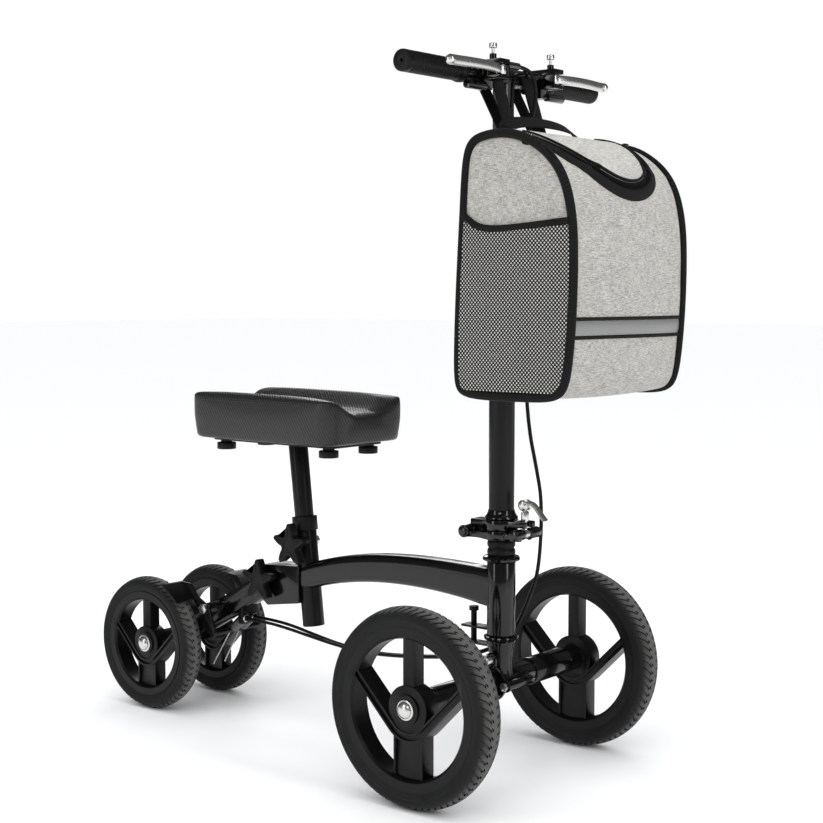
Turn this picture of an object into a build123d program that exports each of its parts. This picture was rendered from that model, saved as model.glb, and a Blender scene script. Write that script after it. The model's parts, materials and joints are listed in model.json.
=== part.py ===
"""Knee scooter: four wheels, an arched steel frame, a padded knee rest and a folding steering column.

Millimetres. X points forward, Y to the rider's left, Z up, and the floor is Z = 0.
Every piece is drawn about the steering axis (X = 0), and ORIGIN_X then moves the finished
pieces, so that the origin lies on the floor under the middle of the whole scooter.
"""
from build123d import *
from collections import namedtuple
from math import acos, atan2, cos, degrees, hypot, pi, radians, sin, sqrt, tan
import os

# ---- driving dimensions -------------------------------------------------------------------
WHEELBASE = 618.0
FRONT_TRACK = 365.0         # middle of one front tyre to the middle of the other
REAR_TRACK = 140.0
BAR_HEIGHT = 916.0          # handlebar axis above the floor
BAR_HALF_LENGTH = 206.0     # steering axis to the end of a grip
PAD_UNDERSIDE = 427.0       # knee pad's lower face above the floor
RUNNING_GAP = 0.06          # radial clearance of a shaft that turns or slides in its bore
FREE_GAP = 0.3              # clearance between pieces that move past each other

Wheel = namedtuple("Wheel", "radius width bead_radius bead_half bed_radius bed_half bore_radius "
                            "hub_radius hub_half disc_radius spoke_half")
FRONT_WHEEL = Wheel(127, 41, 103.5, 16, 97, 12, 88, 19, 15.5, 30, 11)
REAR_WHEEL = Wheel(102, 36, 80, 15, 75, 11, 67, 17, 14, 26, 10)
TREAD_CROWN = 5.0           # how much lower the tread is at its shoulders than in the middle
V_ARM_ANGLE = 45.0          # how steeply the arms of a wheel's V rise from under the hub
V_BAND_OUTER, V_BAND_PROUD, V_RAIL, V_GROOVE_DEPTH = 1.38, 2.5, 2.8, 4.0
WIDE_SPOKE = 1.55           # width of the wide spoke over the radius of the hub's disc
BEARING_RADIUS, BEARING_LENGTH, SPINDLE_RADIUS = 13.0, 8.0, 6.0
SPINDLE_NOSE = 1.0          # step that keeps an axle tube off the turning hub
WASHER_RADIUS, WASHER_THICKNESS = 13.0, 1.6
BOLT_HEAD_RADIUS, BOLT_HEAD_HEIGHT = 10.5, 5.0
BOLT_SEAT_DEPTH = 16.0      # how far a wheel bolt screws into its axle

# steering
HEAD_RADIUS, HEAD_BORE, HEAD_LOW, HEAD_HIGH = 19.0, 16.0, 188.0, 286.0
STEERER_RADIUS = 13.0
CUP_RADIUS, CUP_HEIGHT, RING_RADIUS, RING_HEIGHT, CUP_DEPTH = 24.5, 7.0, 22.5, 6.0, 10.0
CROWN_RADIUS, CROWN_FOOT_RADIUS = 19.0, 15.5
SLEEVE_RADIUS, SLEEVE_RIGHT, SLEEVE_LEFT = 17.0, -20.0, 60.0
AXLE_RADIUS, AXLE_WALL, AXLE_CORE_RADIUS = 18.5, 3.0, 14.0
FLANGE_RADIUS, FLANGE_THICKNESS = 24.5, 4.0
PINCH_X, PINCH_DROP, PINCH_RADIUS, PINCH_TUBE_RADIUS, PINCH_TUBE_LEFT = 25.0, 1.0, 3.5, 6.0, 33.0
CAM_Z, CAM_BOLT_RADIUS, CAM_RADIUS = 158.0, 3.0, 7.0
LOCK_X, LOCK_PIN_RADIUS, LOCK_HALF_WIDTH, LOCK_PLATE = -45.0, 4.0, 9.0, 3.0
LOCK_UPPER_Z, LOCK_LOWER_Z, LOCK_REACH = 193.0, 171.0, -60.0
LOCK_HEAD_Z, LOCK_HEAD_RADIUS, LOCK_HEAD_HEIGHT = 215.0, 6.5, 6.0

# folding joint and column
SPACER_LOW, SPACER_RADIUS, SPACER_RIBS = 293.3, 18.0, 3
FOLD_Z, FOLD_X = 325.0, -43.0        # hinge axis, across the scooter
FOLD_BASE_LOW, FOLD_SPLIT, FOLD_TOP = 316.0, 329.0, 343.0
FOLD_BODY_RADIUS, KNUCKLE_RADIUS, KNUCKLE_HALF, BARREL_HALF = 23.0, 8.5, 12.0, 28.0
FOLD_PIN_RADIUS = 4.0
LATCH_X, LATCH_Z, LATCH_BARREL_RADIUS, LATCH_BARREL_HALF, LATCH_SLOT = 38.0, 326.0, 7.5, 28.0, 5.7
LATCH_ROD_RADIUS, LATCH_EYE_RADIUS, LATCH_PIN_RADIUS = 3.0, 6.0, 3.0
LATCH_CAM_Z, LATCH_CAM_RADIUS, LATCH_CAM_HALF = 364.0, 7.5, 9.0
LATCH_LEVER_LENGTH = 34.0
COLUMN_RADIUS, STEM_RADIUS, TUBE_WALL = 17.0, 14.0, 2.0
COLUMN_TOP, STEM_INSERTED = 722.0, 300.0   # top of the outer column; stem length inside it
CLAMP_RADIUS, CLAMP_HEIGHT, CLAMP_LUG_REACH, CLAMP_SLIT = COLUMN_RADIUS + 4.5, 28.0, 34.0, 1.5
SKEWER_X, SKEWER_RADIUS, SKEWER_HALF, SKEWER_PIN_RADIUS = -28.0, 2.5, 11.0, 3.2

# handlebar
BAR_RADIUS, TEE_RADIUS, TEE_HALF = 11.0, 14.5, 20.0
GRIP_RADIUS, GRIP_LENGTH, GRIP_CAP = 13.5, 118.0, 4.0
PERCH_IN, PERCH_OUT, PERCH_RADIUS = 49.0, 70.0, 16.0
PERCH_FRONT, PERCH_LOW, PERCH_HIGH = 46.0, -11.0, 14.0   # lever body, from the bar's axis
BLADE_X, BLADE_Y, BLADE_LOW, BLADE_HIGH = 38.0, 58.0, -6.0, 8.0
BLADE_THICKNESS, BLADE_TIP_X, BLADE_TIP_Y = 5.0, 45.0, 173.0
PIVOT_RADIUS = 3.0
BARREL_LENGTH, BARREL_RADIUS = 34.0, 4.5
PARK_X, PARK_Y, PARK_RADIUS, PARK_TRAVEL = 30.0, 63.0, 2.0, 4.0
PARK_BOSS_RADIUS, PARK_BOSS_HEIGHT, PARK_HEAD_Z, PARK_HEAD_RADIUS = 4.5, 7.0, 28.0, 5.0

# frame
BEAM_HALF_WIDTH, BEAM_WALL, BEAM_CORNER = 18.0, 2.5, 11.0
BEAM_TOP = [(-5, 275.5), (-90, 278.5), (-160, 277.5), (-235, 271), (-311, 256), (-372, 237), (-396, 229)]
BEAM_BOTTOM = [(-5, 222.8), (-75, 232.5), (-141, 236), (-220, 233), (-290, 222), (-372, 199), (-396, 191)]
SEAT_X, SEAT_Z, SEAT_RAKE = -356.0, 300.0, 6.5   # a point on the seat post's axis, and its lean
SEAT_TUBE_RADIUS, SEAT_TUBE_LOW, POST_RADIUS = 16.0, 154.0, 14.0
COLLAR_LOW, COLLAR_HIGH, COLLAR_RADIUS = 293.0, 314.0, 18.5
POST_INSERTED = 95.0                 # length of the post below the top of its tube
BRACKET = [(-424, 238), (-350, 243), (-350, 188), (-414, 178), (-428, 188)]
BRACKET_INSETS = [(-16, -2.8), (10, -2.4), (10, 1), (0, 3), (-12, -7)]   # to its inside: open front and rear
BRACKET_HALF_WIDTH = 21.5
NECK_TOP_X, NECK_TOP_Z, NECK_HEIGHT = -409.0, 218.3, 29.3   # top end of the neck's centre line
REAR_TUBE_RADIUS, REAR_TUBE_HALF = 15.0, 46.0
KNOB_RADIUS, KNOB_LOBES, KNOB_THICKNESS, KNOB_STANDOFF = 31.0, 5, 15.0, 4.0
KNOB_ARM_ROOT, KNOB_ARM_TIP = 11.0, 5.5      # half widths of one arm
KNOB_SCREW_RADIUS, KNOB_HUB_RADIUS = 4.0, 9.0
SEAT_KNOB_Z = 277.0
NECK_KNOB_X, NECK_KNOB_Z = -418.0, 218.0

# knee rest
PAD_LENGTH, PAD_WIDTH, PAD_HEIGHT, PAD_DIP, PAD_CORNER = 292.0, 174.0, 70.0, 24.0, 26.0
PAD_MIDDLE_X = -373.0
PLATE_LENGTH, PLATE_WIDTH, PLATE_THICKNESS = 244.0, 112.0, 4.0
PAD_KNOB_SPAN_X, PAD_KNOB_SPAN_Y, PAD_KNOB_RADIUS, PAD_KNOB_HEIGHT = 206.0, 84.0, 14.0, 14.0
PAD_SCREW_RADIUS, PAD_SCREW_DEPTH = 3.0, 12.0

# brakes
SHOE_GAP, SHOE_THICKNESS, SHOE_START, SHOE_END = 3.5, 2.5, 43.0, 65.0
ARM_IN, ARM_OUT = 45.5, 49.5         # the arm's side plate, from the scooter's middle
BRAKE_AHEAD, BRAKE_RISE = 98.0, 6.5  # arms' pivot: ahead of the rear axle, above the neck's centre line
BRAKE_BOLT_RADIUS, BRAKE_BOSS_RADIUS, HEX_RADIUS = 4.0, 8.0, 8.0
CLAMP_AHEAD, CLAMP_DROP = 17.0, 37.0 # wire clamp, from the arms' pivot
ANCHOR_AHEAD, ANCHOR_DROP, ANCHOR_Y = 142.0, 33.0, 9.0   # cable yoke: ahead of the axle, below the neck line
CABLE_RADIUS, WIRE_RADIUS = 2.5, 0.9

# bag, hung in front of the column
BAG_HALF_WIDTH, BAG_SKIN = 128.0, 5.0
BAG_INNER_X, BAG_INNER_Z = 0.9, 0.96        # inside as a share of the outside
BAG_SIDE = [(24, 524), (34, 514), (172, 514), (186, 530), (192, 610), (192, 718), (185, 752),
            (172, 781), (150, 806), (110, 828), (84, 833), (42, 823), (36, 800), (33, 700)]
STRAP_MIDDLE_Y, STRAP_WIDTH, STRAP_THICKNESS, STRAP_TAIL = 34.0, 24.0, 2.0, 8.0
STRAP_FEET = (39.0, 832.0), (35.0, 829.0)   # where the front and the rear leg meet the bag

# places that follow from the sizes above
ORIGIN_X = (WHEELBASE + REAR_WHEEL.radius - max(x for x, _ in BAG_SIDE)) / 2
REAR_X = -WHEELBASE
NECK_SLOPE = degrees(atan2(NECK_TOP_Z - REAR_WHEEL.radius, NECK_TOP_X - REAR_X))


def neck_z(x):
    """Height of the rear neck's centre line, which ends at the rear axle."""
    return REAR_WHEEL.radius + (x - REAR_X) * tan(radians(NECK_SLOPE))


BRAKE_X, BRAKE_Z = REAR_X + BRAKE_AHEAD, neck_z(REAR_X + BRAKE_AHEAD) + BRAKE_RISE
WIRE_CLAMP_X, WIRE_CLAMP_Z = BRAKE_X + CLAMP_AHEAD, BRAKE_Z - CLAMP_DROP
ANCHOR_X, ANCHOR_Z = REAR_X + ANCHOR_AHEAD, neck_z(REAR_X + ANCHOR_AHEAD) - ANCHOR_DROP


# ---- small helpers ------------------------------------------------------------------------
def rod(start, end, radius):
    """A solid cylinder between two points."""
    axis = Vector(*end) - Vector(*start)
    return Solid.make_cylinder(radius, axis.length, Plane(origin=start, z_dir=axis.normalized()))


def tube(start, end, outer, inner):
    return rod(start, end, outer) - rod(start, end, inner)


def block(x, y, z):
    """A box from three (low, high) pairs."""
    size = [high - low for low, high in (x, y, z)]
    return Solid.make_box(*size, Plane(origin=(x[0], y[0], z[0])))


def side_plate(points, low_y, high_y):
    """A plate between two Y values whose outline is given in X and Z."""
    wire = Wire.make_polygon([(x, low_y, z) for x, z in points], close=True)
    return Solid.extrude(Face(wire), Vector(0, high_y - low_y, 0))


def turned(points, x=0.0, y=0.0, z=0.0):
    """A solid of revolution about Y from (radius, y) points, moved to x, y, z."""
    wire = Wire.make_polygon([(r, along, 0) for r, along in points], close=True)
    return Solid.revolve(Face(wire), 360, Axis.Y).moved(Location((x, y, z)))


def hexagon(start, end, radius):
    """A hexagonal bar between two points on a line along Y."""
    corners = [(start[0] + radius * cos(k * pi / 3), start[2] + radius * sin(k * pi / 3)) for k in range(6)]
    return side_plate(corners, min(start[1], end[1]), max(start[1], end[1]))


def mirrored(solid):
    """The same piece on the other side of the scooter."""
    return solid.mirror(Plane.XZ)


def seat_point(z):
    """Where the seat post's raked axis is at height z."""
    return (SEAT_X - (z - SEAT_Z) * tan(radians(SEAT_RAKE)), 0.0, z)


# ---- wheels -------------------------------------------------------------------------------
def tyre(wheel):
    half, shoulder = wheel.width / 2, wheel.radius - TREAD_CROWN
    with BuildPart() as part:
        with BuildSketch(Plane.XY):
            with BuildLine():
                Line((wheel.bed_radius, -wheel.bed_half), (wheel.bead_radius, -wheel.bead_half))
                ThreePointArc((wheel.bead_radius, -wheel.bead_half), (shoulder - 8, -half),
                              (shoulder, -half + 5))
                ThreePointArc((shoulder, -half + 5), (wheel.radius, 0), (shoulder, half - 5))
                ThreePointArc((shoulder, half - 5), (shoulder - 8, half),
                              (wheel.bead_radius, wheel.bead_half))
                Line((wheel.bead_radius, wheel.bead_half), (wheel.bed_radius, wheel.bed_half))
                Line((wheel.bed_radius, wheel.bed_half), (wheel.bed_radius, -wheel.bed_half))
            make_face()
        revolve(axis=Axis.Y)
    return part.part.solid()


def spoke(wheel, angle, width, offset=0.0, half=None):
    """One straight bar from the hub to the rim, at an angle from +X in the wheel's plane."""
    half = half or wheel.spoke_half
    bar = block((wheel.hub_radius - 6, wheel.bore_radius + 3), (-half, half),
                (offset - width / 2, offset + width / 2))
    return bar.rotate(Axis.Y, -angle)


def swept_band(wheel, low, high, start_y, end_y):
    """Band of a spoked V: it comes down from the rim, runs round under the hub and goes up again."""
    reach = sqrt((wheel.bore_radius + 1.5) ** 2 - low ** 2)
    foot = 1.5 * high
    curve = tube((0, start_y, 0), (0, end_y, 0), high, low)
    curve &= side_plate([(0, 0), (-foot, -foot), (foot, -foot)], start_y, end_y)
    front_arm = block((-0.1, reach), (start_y, end_y), (-high, -low)).rotate(Axis.Y, -V_ARM_ANGLE)
    rear_arm = block((-0.1, reach), (start_y, end_y), (low, high)).rotate(Axis.Y, V_ARM_ANGLE - 180)
    return curve + front_arm + rear_arm


def rim(wheel):
    """Moulded wheel: tyre bed, stepped hub, a narrow spoke, a wide one and a V of channel spokes."""
    lip = 3.0
    ring = turned([(wheel.bed_radius, -wheel.bed_half), (wheel.bead_radius, -wheel.bead_half),
                   (wheel.bore_radius + lip, -wheel.bead_half), (wheel.bore_radius, lip - wheel.bead_half),
                   (wheel.bore_radius, wheel.bead_half - lip), (wheel.bore_radius + lip, wheel.bead_half),
                   (wheel.bead_radius, wheel.bead_half), (wheel.bed_radius, wheel.bed_half)])
    wide = WIDE_SPOKE * wheel.disc_radius
    flange = 3.0
    body = ring + spoke(wheel, 90, 17, half=wheel.spoke_half - 1)
    body += spoke(wheel, 270, wide, half=wheel.spoke_half - 4)
    for side in (-1, 1):
        body += spoke(wheel, 270, flange, offset=side * (wide - flange) / 2)
    low, high = wheel.disc_radius - 0.5, V_BAND_OUTER * wheel.disc_radius
    half = wheel.spoke_half + V_BAND_PROUD
    body += swept_band(wheel, low, high, -half, half)
    hub = rod((0, -wheel.hub_half, 0), (0, wheel.hub_half, 0), wheel.hub_radius)
    disc = rod((0, -wheel.spoke_half - 1, 0), (0, wheel.spoke_half + 1, 0), wheel.disc_radius)
    body += hub + disc
    for side in (-1, 1):
        floor, mouth = sorted((side * (half - V_GROOVE_DEPTH), side * (half + 1)))
        body -= swept_band(wheel, low + V_RAIL, high - V_RAIL, floor, mouth)
    seat = BEARING_LENGTH + FREE_GAP
    for side in (-1, 1):
        body -= rod((0, side * wheel.hub_half, 0), (0, side * (wheel.hub_half - seat), 0),
                    BEARING_RADIUS + RUNNING_GAP)
    body -= rod((0, -wheel.hub_half, 0), (0, wheel.hub_half, 0), SPINDLE_RADIUS + 2)
    return body.solid()


def wheel_bearings(wheel, x, y):
    """The two bearings of one wheel, in the mouths of its hub."""
    z = wheel.radius
    rings = []
    for side in (-1, 1):
        outer, inner = y + side * wheel.hub_half, y + side * (wheel.hub_half - BEARING_LENGTH)
        rings.append(tube((x, outer, z), (x, inner, z), BEARING_RADIUS, SPINDLE_RADIUS))
    return rings


def wheel_bolt(wheel, x, y, side):
    """Domed bolt with its washer: the spindle that one wheel turns on."""
    z, face = wheel.radius, y + side * wheel.hub_half
    root = y - side * (wheel.hub_half + SPINDLE_NOSE + BOLT_SEAT_DEPTH)
    washer = rod((x, face, z), (x, face + side * WASHER_THICKNESS, z), WASHER_RADIUS)
    head_foot = face + side * WASHER_THICKNESS
    head = rod((x, head_foot, z), (x, head_foot + side * BOLT_HEAD_HEIGHT * 0.4, z), BOLT_HEAD_RADIUS)
    dome = Solid.make_cone(BOLT_HEAD_RADIUS, BOLT_HEAD_RADIUS * 0.6, BOLT_HEAD_HEIGHT * 0.6,
                           Plane(origin=(x, head_foot + side * BOLT_HEAD_HEIGHT * 0.4, z),
                                 z_dir=(0, side, 0)))
    return (rod((x, root, z), (x, face, z), SPINDLE_RADIUS) + washer + head + dome).solid()


# ---- frame --------------------------------------------------------------------------------
def beam_shape(inset):
    """The arched beam's solid outline, drawn inset from its outer faces."""
    top = [(x, z - inset) for x, z in BEAM_TOP]
    bottom = [(x, z + inset) for x, z in BEAM_BOTTOM]
    half = BEAM_HALF_WIDTH - inset
    with BuildPart() as part:
        with BuildSketch(Plane.XZ):
            with BuildLine():
                upper = Spline(*top)
                lower = Spline(*bottom)
                Line(upper @ 0, lower @ 0)
                Line(upper @ 1, lower @ 1)
            make_face()
        extrude(amount=half, both=True)
    return part.part.solid()


def rounded_beam(inset):
    """The beam's outline with its long edges rounded, inset from its outer faces."""
    shape = beam_shape(inset)
    long_edges = [e for e in shape.edges() if e.length > 250]
    return shape.fillet(BEAM_CORNER - inset, long_edges)


def main_beam():
    beam = rounded_beam(0.0) - rounded_beam(BEAM_WALL) - rod((0, 0, HEAD_LOW), (0, 0, HEAD_HIGH), HEAD_RADIUS)
    beam -= rod(seat_point(SEAT_TUBE_LOW), seat_point(COLLAR_LOW), SEAT_TUBE_RADIUS)
    return max(beam.solids(), key=lambda s: s.volume)


def head_tube():
    return tube((0, 0, HEAD_LOW), (0, 0, HEAD_HIGH), HEAD_RADIUS, HEAD_BORE)


def headset_cups():
    bore = STEERER_RADIUS + RUNNING_GAP
    top = tube((0, 0, HEAD_HIGH), (0, 0, HEAD_HIGH + CUP_HEIGHT), CUP_RADIUS, bore)
    top += tube((0, 0, HEAD_HIGH - CUP_DEPTH), (0, 0, HEAD_HIGH), HEAD_BORE, bore)
    low = tube((0, 0, HEAD_LOW - RING_HEIGHT), (0, 0, HEAD_LOW), RING_RADIUS, bore)
    low += tube((0, 0, HEAD_LOW), (0, 0, HEAD_LOW + CUP_DEPTH), HEAD_BORE, bore)
    return [top.solid(), low.solid()]


def steering_stop_plate():
    """Ledge behind the head tube that guides the steering lock pin."""
    plate = block((LOCK_REACH, 0), (-LOCK_HALF_WIDTH, LOCK_HALF_WIDTH),
                  (LOCK_UPPER_Z, LOCK_UPPER_Z + LOCK_PLATE))
    plate -= rod((0, 0, HEAD_LOW), (0, 0, HEAD_HIGH), HEAD_RADIUS)
    top = LOCK_UPPER_Z + LOCK_PLATE
    plate -= rod((LOCK_X, 0, LOCK_UPPER_Z - 1), (LOCK_X, 0, top + 1), LOCK_PIN_RADIUS + RUNNING_GAP)
    return max(plate.solids(), key=lambda s: s.volume)


def steering_lock_pin():
    foot = LOCK_LOWER_Z + LOCK_PLATE + FREE_GAP
    pin = rod((LOCK_X, 0, foot), (LOCK_X, 0, LOCK_HEAD_Z), LOCK_PIN_RADIUS)
    return (pin + rod((LOCK_X, 0, LOCK_HEAD_Z), (LOCK_X, 0, LOCK_HEAD_Z + LOCK_HEAD_HEIGHT),
                      LOCK_HEAD_RADIUS)).solid()


def seat_tube():
    body = tube(seat_point(SEAT_TUBE_LOW), seat_point(COLLAR_LOW), SEAT_TUBE_RADIUS,
                POST_RADIUS + RUNNING_GAP)
    x = seat_point(SEAT_KNOB_Z)[0]
    boss = rod((x, -SEAT_TUBE_RADIUS - 5, SEAT_KNOB_Z), (x, -POST_RADIUS - 1, SEAT_KNOB_Z), KNOB_HUB_RADIUS)
    boss -= rod(seat_point(SEAT_TUBE_LOW), seat_point(COLLAR_LOW), POST_RADIUS + RUNNING_GAP)
    body += boss
    body -= rod((x, -SEAT_TUBE_RADIUS - 6, SEAT_KNOB_Z), (x, 0, SEAT_KNOB_Z), KNOB_SCREW_RADIUS + RUNNING_GAP)
    return body.solid()


def seat_collar():
    """Plastic bush that guides the post at the mouth of its tube."""
    return tube(seat_point(COLLAR_LOW), seat_point(COLLAR_HIGH), COLLAR_RADIUS, POST_RADIUS + RUNNING_GAP)


def rear_bracket():
    """Box bracket that holds the beam's tail, the seat tube and the neck together."""
    body = side_plate(BRACKET, -BRACKET_HALF_WIDTH, BRACKET_HALF_WIDTH)
    inner = [(x + dx, z + dz) for (x, z), (dx, dz) in zip(BRACKET, BRACKET_INSETS)]
    body -= side_plate(inner, -BEAM_HALF_WIDTH, BEAM_HALF_WIDTH)
    body -= rod(seat_point(SEAT_TUBE_LOW), seat_point(COLLAR_LOW), SEAT_TUBE_RADIUS)
    body -= rod((NECK_KNOB_X, -30, NECK_KNOB_Z), (NECK_KNOB_X, 0, NECK_KNOB_Z),
                KNOB_SCREW_RADIUS + RUNNING_GAP)
    return max(body.solids(), key=lambda s: s.volume)


def rear_frame():
    """Neck that slopes down from the bracket to the rear axle tube, welded to it."""
    rise = NECK_HEIGHT / 2 / cos(radians(NECK_SLOPE))

    def outline(x0, x1, inset):
        drop = rise - inset / cos(radians(NECK_SLOPE))
        return [(x0, neck_z(x0) + drop), (x1, neck_z(x1) + drop), (x1, neck_z(x1) - drop),
                (x0, neck_z(x0) - drop)]

    neck = side_plate(outline(NECK_TOP_X, REAR_X, 0), -BEAM_HALF_WIDTH, BEAM_HALF_WIDTH)
    neck -= side_plate(outline(NECK_TOP_X + 1, REAR_X, BEAM_WALL), BEAM_WALL - BEAM_HALF_WIDTH,
                       BEAM_HALF_WIDTH - BEAM_WALL)
    z = REAR_WHEEL.radius
    ends = (REAR_X, -REAR_TUBE_HALF, z), (REAR_X, REAR_TUBE_HALF, z)
    body = neck + rod(*ends, REAR_TUBE_RADIUS)
    middle = REAR_TRACK / 2 - REAR_WHEEL.hub_half - SPINDLE_NOSE
    nose = middle + SPINDLE_NOSE
    body += rod((REAR_X, -middle, z), (REAR_X, middle, z), REAR_TUBE_RADIUS)
    body += rod((REAR_X, -nose, z), (REAR_X, nose, z), SPINDLE_RADIUS + 2.5)
    body -= rod((REAR_X, -nose, z), (REAR_X, nose, z), SPINDLE_RADIUS)
    body += tube((BRAKE_X, -ARM_IN + FREE_GAP, BRAKE_Z), (BRAKE_X, ARM_IN - FREE_GAP, BRAKE_Z),
                 BRAKE_BOSS_RADIUS, BRAKE_BOLT_RADIUS)
    body -= rod((BRAKE_X, -ARM_IN, BRAKE_Z), (BRAKE_X, ARM_IN, BRAKE_Z), BRAKE_BOLT_RADIUS)
    body -= rod((NECK_KNOB_X, -30, NECK_KNOB_Z), (NECK_KNOB_X, 0, NECK_KNOB_Z),
                KNOB_SCREW_RADIUS + RUNNING_GAP)
    return body.solid()


def brake_pivot_bolt(side):
    """Hex bolt that one brake arm swings on, screwed into the boss on the neck."""
    inner, face = side * (ARM_IN - 25), side * (ARM_OUT + FREE_GAP)
    bolt = rod((BRAKE_X, inner, BRAKE_Z), (BRAKE_X, face, BRAKE_Z), BRAKE_BOLT_RADIUS)
    return (bolt + hexagon((BRAKE_X, face, BRAKE_Z), (BRAKE_X, face + side * 5, BRAKE_Z), HEX_RADIUS)).solid()


def cable_anchor():
    """Yoke under the neck that holds both cable ends, with its bolt."""
    top = neck_z(ANCHOR_X) - NECK_HEIGHT / 2 / cos(radians(NECK_SLOPE))
    yoke = block((ANCHOR_X - 4, ANCHOR_X + 4), (-ANCHOR_Y - 7, ANCHOR_Y + 7), (ANCHOR_Z - 8, top + 4))
    under_neck = [(ANCHOR_X - 20, neck_z(ANCHOR_X - 20) - NECK_HEIGHT / 2 / cos(radians(NECK_SLOPE))),
                  (ANCHOR_X + 20, neck_z(ANCHOR_X + 20) - NECK_HEIGHT / 2 / cos(radians(NECK_SLOPE))),
                  (ANCHOR_X + 20, top + 40), (ANCHOR_X - 20, top + 40)]
    yoke -= side_plate(under_neck, -40, 40)
    for side in (-1, 1):
        yoke += rod((ANCHOR_X, side * ANCHOR_Y, ANCHOR_Z), (ANCHOR_X + 9, side * ANCHOR_Y, ANCHOR_Z), 4.5)
        yoke -= rod((ANCHOR_X - 5, side * ANCHOR_Y, ANCHOR_Z), (ANCHOR_X + 9, side * ANCHOR_Y, ANCHOR_Z),
                    WIRE_RADIUS + 0.3)
        yoke -= rod((ANCHOR_X + 4, side * ANCHOR_Y, ANCHOR_Z), (ANCHOR_X + 9, side * ANCHOR_Y, ANCHOR_Z),
                    CABLE_RADIUS)
    return max(yoke.solids(), key=lambda s: s.volume)


def seat_tube_nut():
    """Acorn nut opposite the seat knob."""
    x = seat_point(SEAT_KNOB_Z)[0]
    nut = hexagon((x, SEAT_TUBE_RADIUS - 1, SEAT_KNOB_Z), (x, SEAT_TUBE_RADIUS + 6, SEAT_KNOB_Z), 7.5)
    return (nut - rod(seat_point(SEAT_TUBE_LOW), seat_point(COLLAR_LOW), SEAT_TUBE_RADIUS)).solid()


# ---- knobs --------------------------------------------------------------------------------
def star_knob(x, z, seat_y, tip_y):
    """Five-armed clamp knob on the right-hand side, with its hub and screw."""
    outer = seat_y - KNOB_STANDOFF
    body = rod((x, outer, z), (x, outer - KNOB_THICKNESS, z), KNOB_RADIUS * 0.55)
    for lobe in range(KNOB_LOBES):
        arm = side_plate([(x + 5, z - KNOB_ARM_ROOT), (x + KNOB_RADIUS, z - KNOB_ARM_TIP),
                          (x + KNOB_RADIUS, z + KNOB_ARM_TIP), (x + 5, z + KNOB_ARM_ROOT)],
                         outer - KNOB_THICKNESS + 1, outer - 1)
        body += arm.rotate(Axis((x, 0, z), (0, 1, 0)), 18 + lobe * 360 / KNOB_LOBES)
    body += rod((x, outer, z), (x, seat_y - FREE_GAP, z), KNOB_HUB_RADIUS)
    body += rod((x, outer, z), (x, tip_y, z), KNOB_SCREW_RADIUS)
    return body.solid()


# ---- knee rest ----------------------------------------------------------------------------
def seat_post():
    low, top = COLLAR_HIGH - POST_INSERTED, PAD_UNDERSIDE - PLATE_THICKNESS
    over = seat_point(top + 6)
    post = tube(seat_point(low), over, POST_RADIUS, POST_RADIUS - TUBE_WALL)
    return (post - block((over[0] - 40, over[0] + 40), (-40, 40), (top, top + 40))).solid()


def pad_knob_places():
    return [(PAD_MIDDLE_X + sx * PAD_KNOB_SPAN_X / 2, sy * PAD_KNOB_SPAN_Y / 2) for sx in (-1,
                                                                                           1) for sy in (-1,
                                                                                                         1)]


def seat_plate():
    top = PAD_UNDERSIDE
    plate = block((PAD_MIDDLE_X - PLATE_LENGTH / 2, PAD_MIDDLE_X + PLATE_LENGTH / 2),
                  (-PLATE_WIDTH / 2, PLATE_WIDTH / 2), (top - PLATE_THICKNESS, top))
    plate = plate.fillet(12, plate.edges().filter_by(Axis.Z))
    for x, y in pad_knob_places():
        plate -= rod((x, y, top - 20), (x, y, top + 1), PAD_SCREW_RADIUS)
    return plate.solid()


def pad_knobs():
    top = PAD_UNDERSIDE - PLATE_THICKNESS
    knobs = []
    for x, y in pad_knob_places():
        knob = rod((x, y, top - PAD_KNOB_HEIGHT), (x, y, top - 4), PAD_KNOB_RADIUS)
        knob += rod((x, y, top - 4), (x, y, top), PAD_KNOB_RADIUS * 0.6)
        knobs.append((knob + rod((x, y, top - 1), (x, y, PAD_UNDERSIDE + PAD_SCREW_DEPTH),
                                 PAD_SCREW_RADIUS)).solid())
    return knobs


def knee_pad():
    """Padded rest with raised sides and a shallow trough along its middle."""
    half = PAD_WIDTH / 2
    low, top = PAD_UNDERSIDE, PAD_UNDERSIDE + PAD_HEIGHT
    x0, x1 = PAD_MIDDLE_X - PAD_LENGTH / 2, PAD_MIDDLE_X + PAD_LENGTH / 2
    with BuildPart() as part:
        with BuildSketch(Plane.YZ.offset(x0)):
            with BuildLine():
                Polyline((half * 0.34, top - PAD_DIP), (half * 0.8, top), (half, top - 8), (half, low),
                         (-half, low),
                         (-half, top - 8), (-half * 0.8, top), (-half * 0.34, top - PAD_DIP), close=True)
            make_face()
        extrude(amount=x1 - x0)
    pad = part.part.solid()
    pad = pad.fillet(PAD_CORNER, [e for e in pad.edges().filter_by(Axis.Z) if abs(e.center().Y) > half - 1])
    for x, y in pad_knob_places():
        pad -= rod((x, y, low - 1), (x, y, low + PAD_SCREW_DEPTH), PAD_SCREW_RADIUS)
    return pad.solid()


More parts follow.
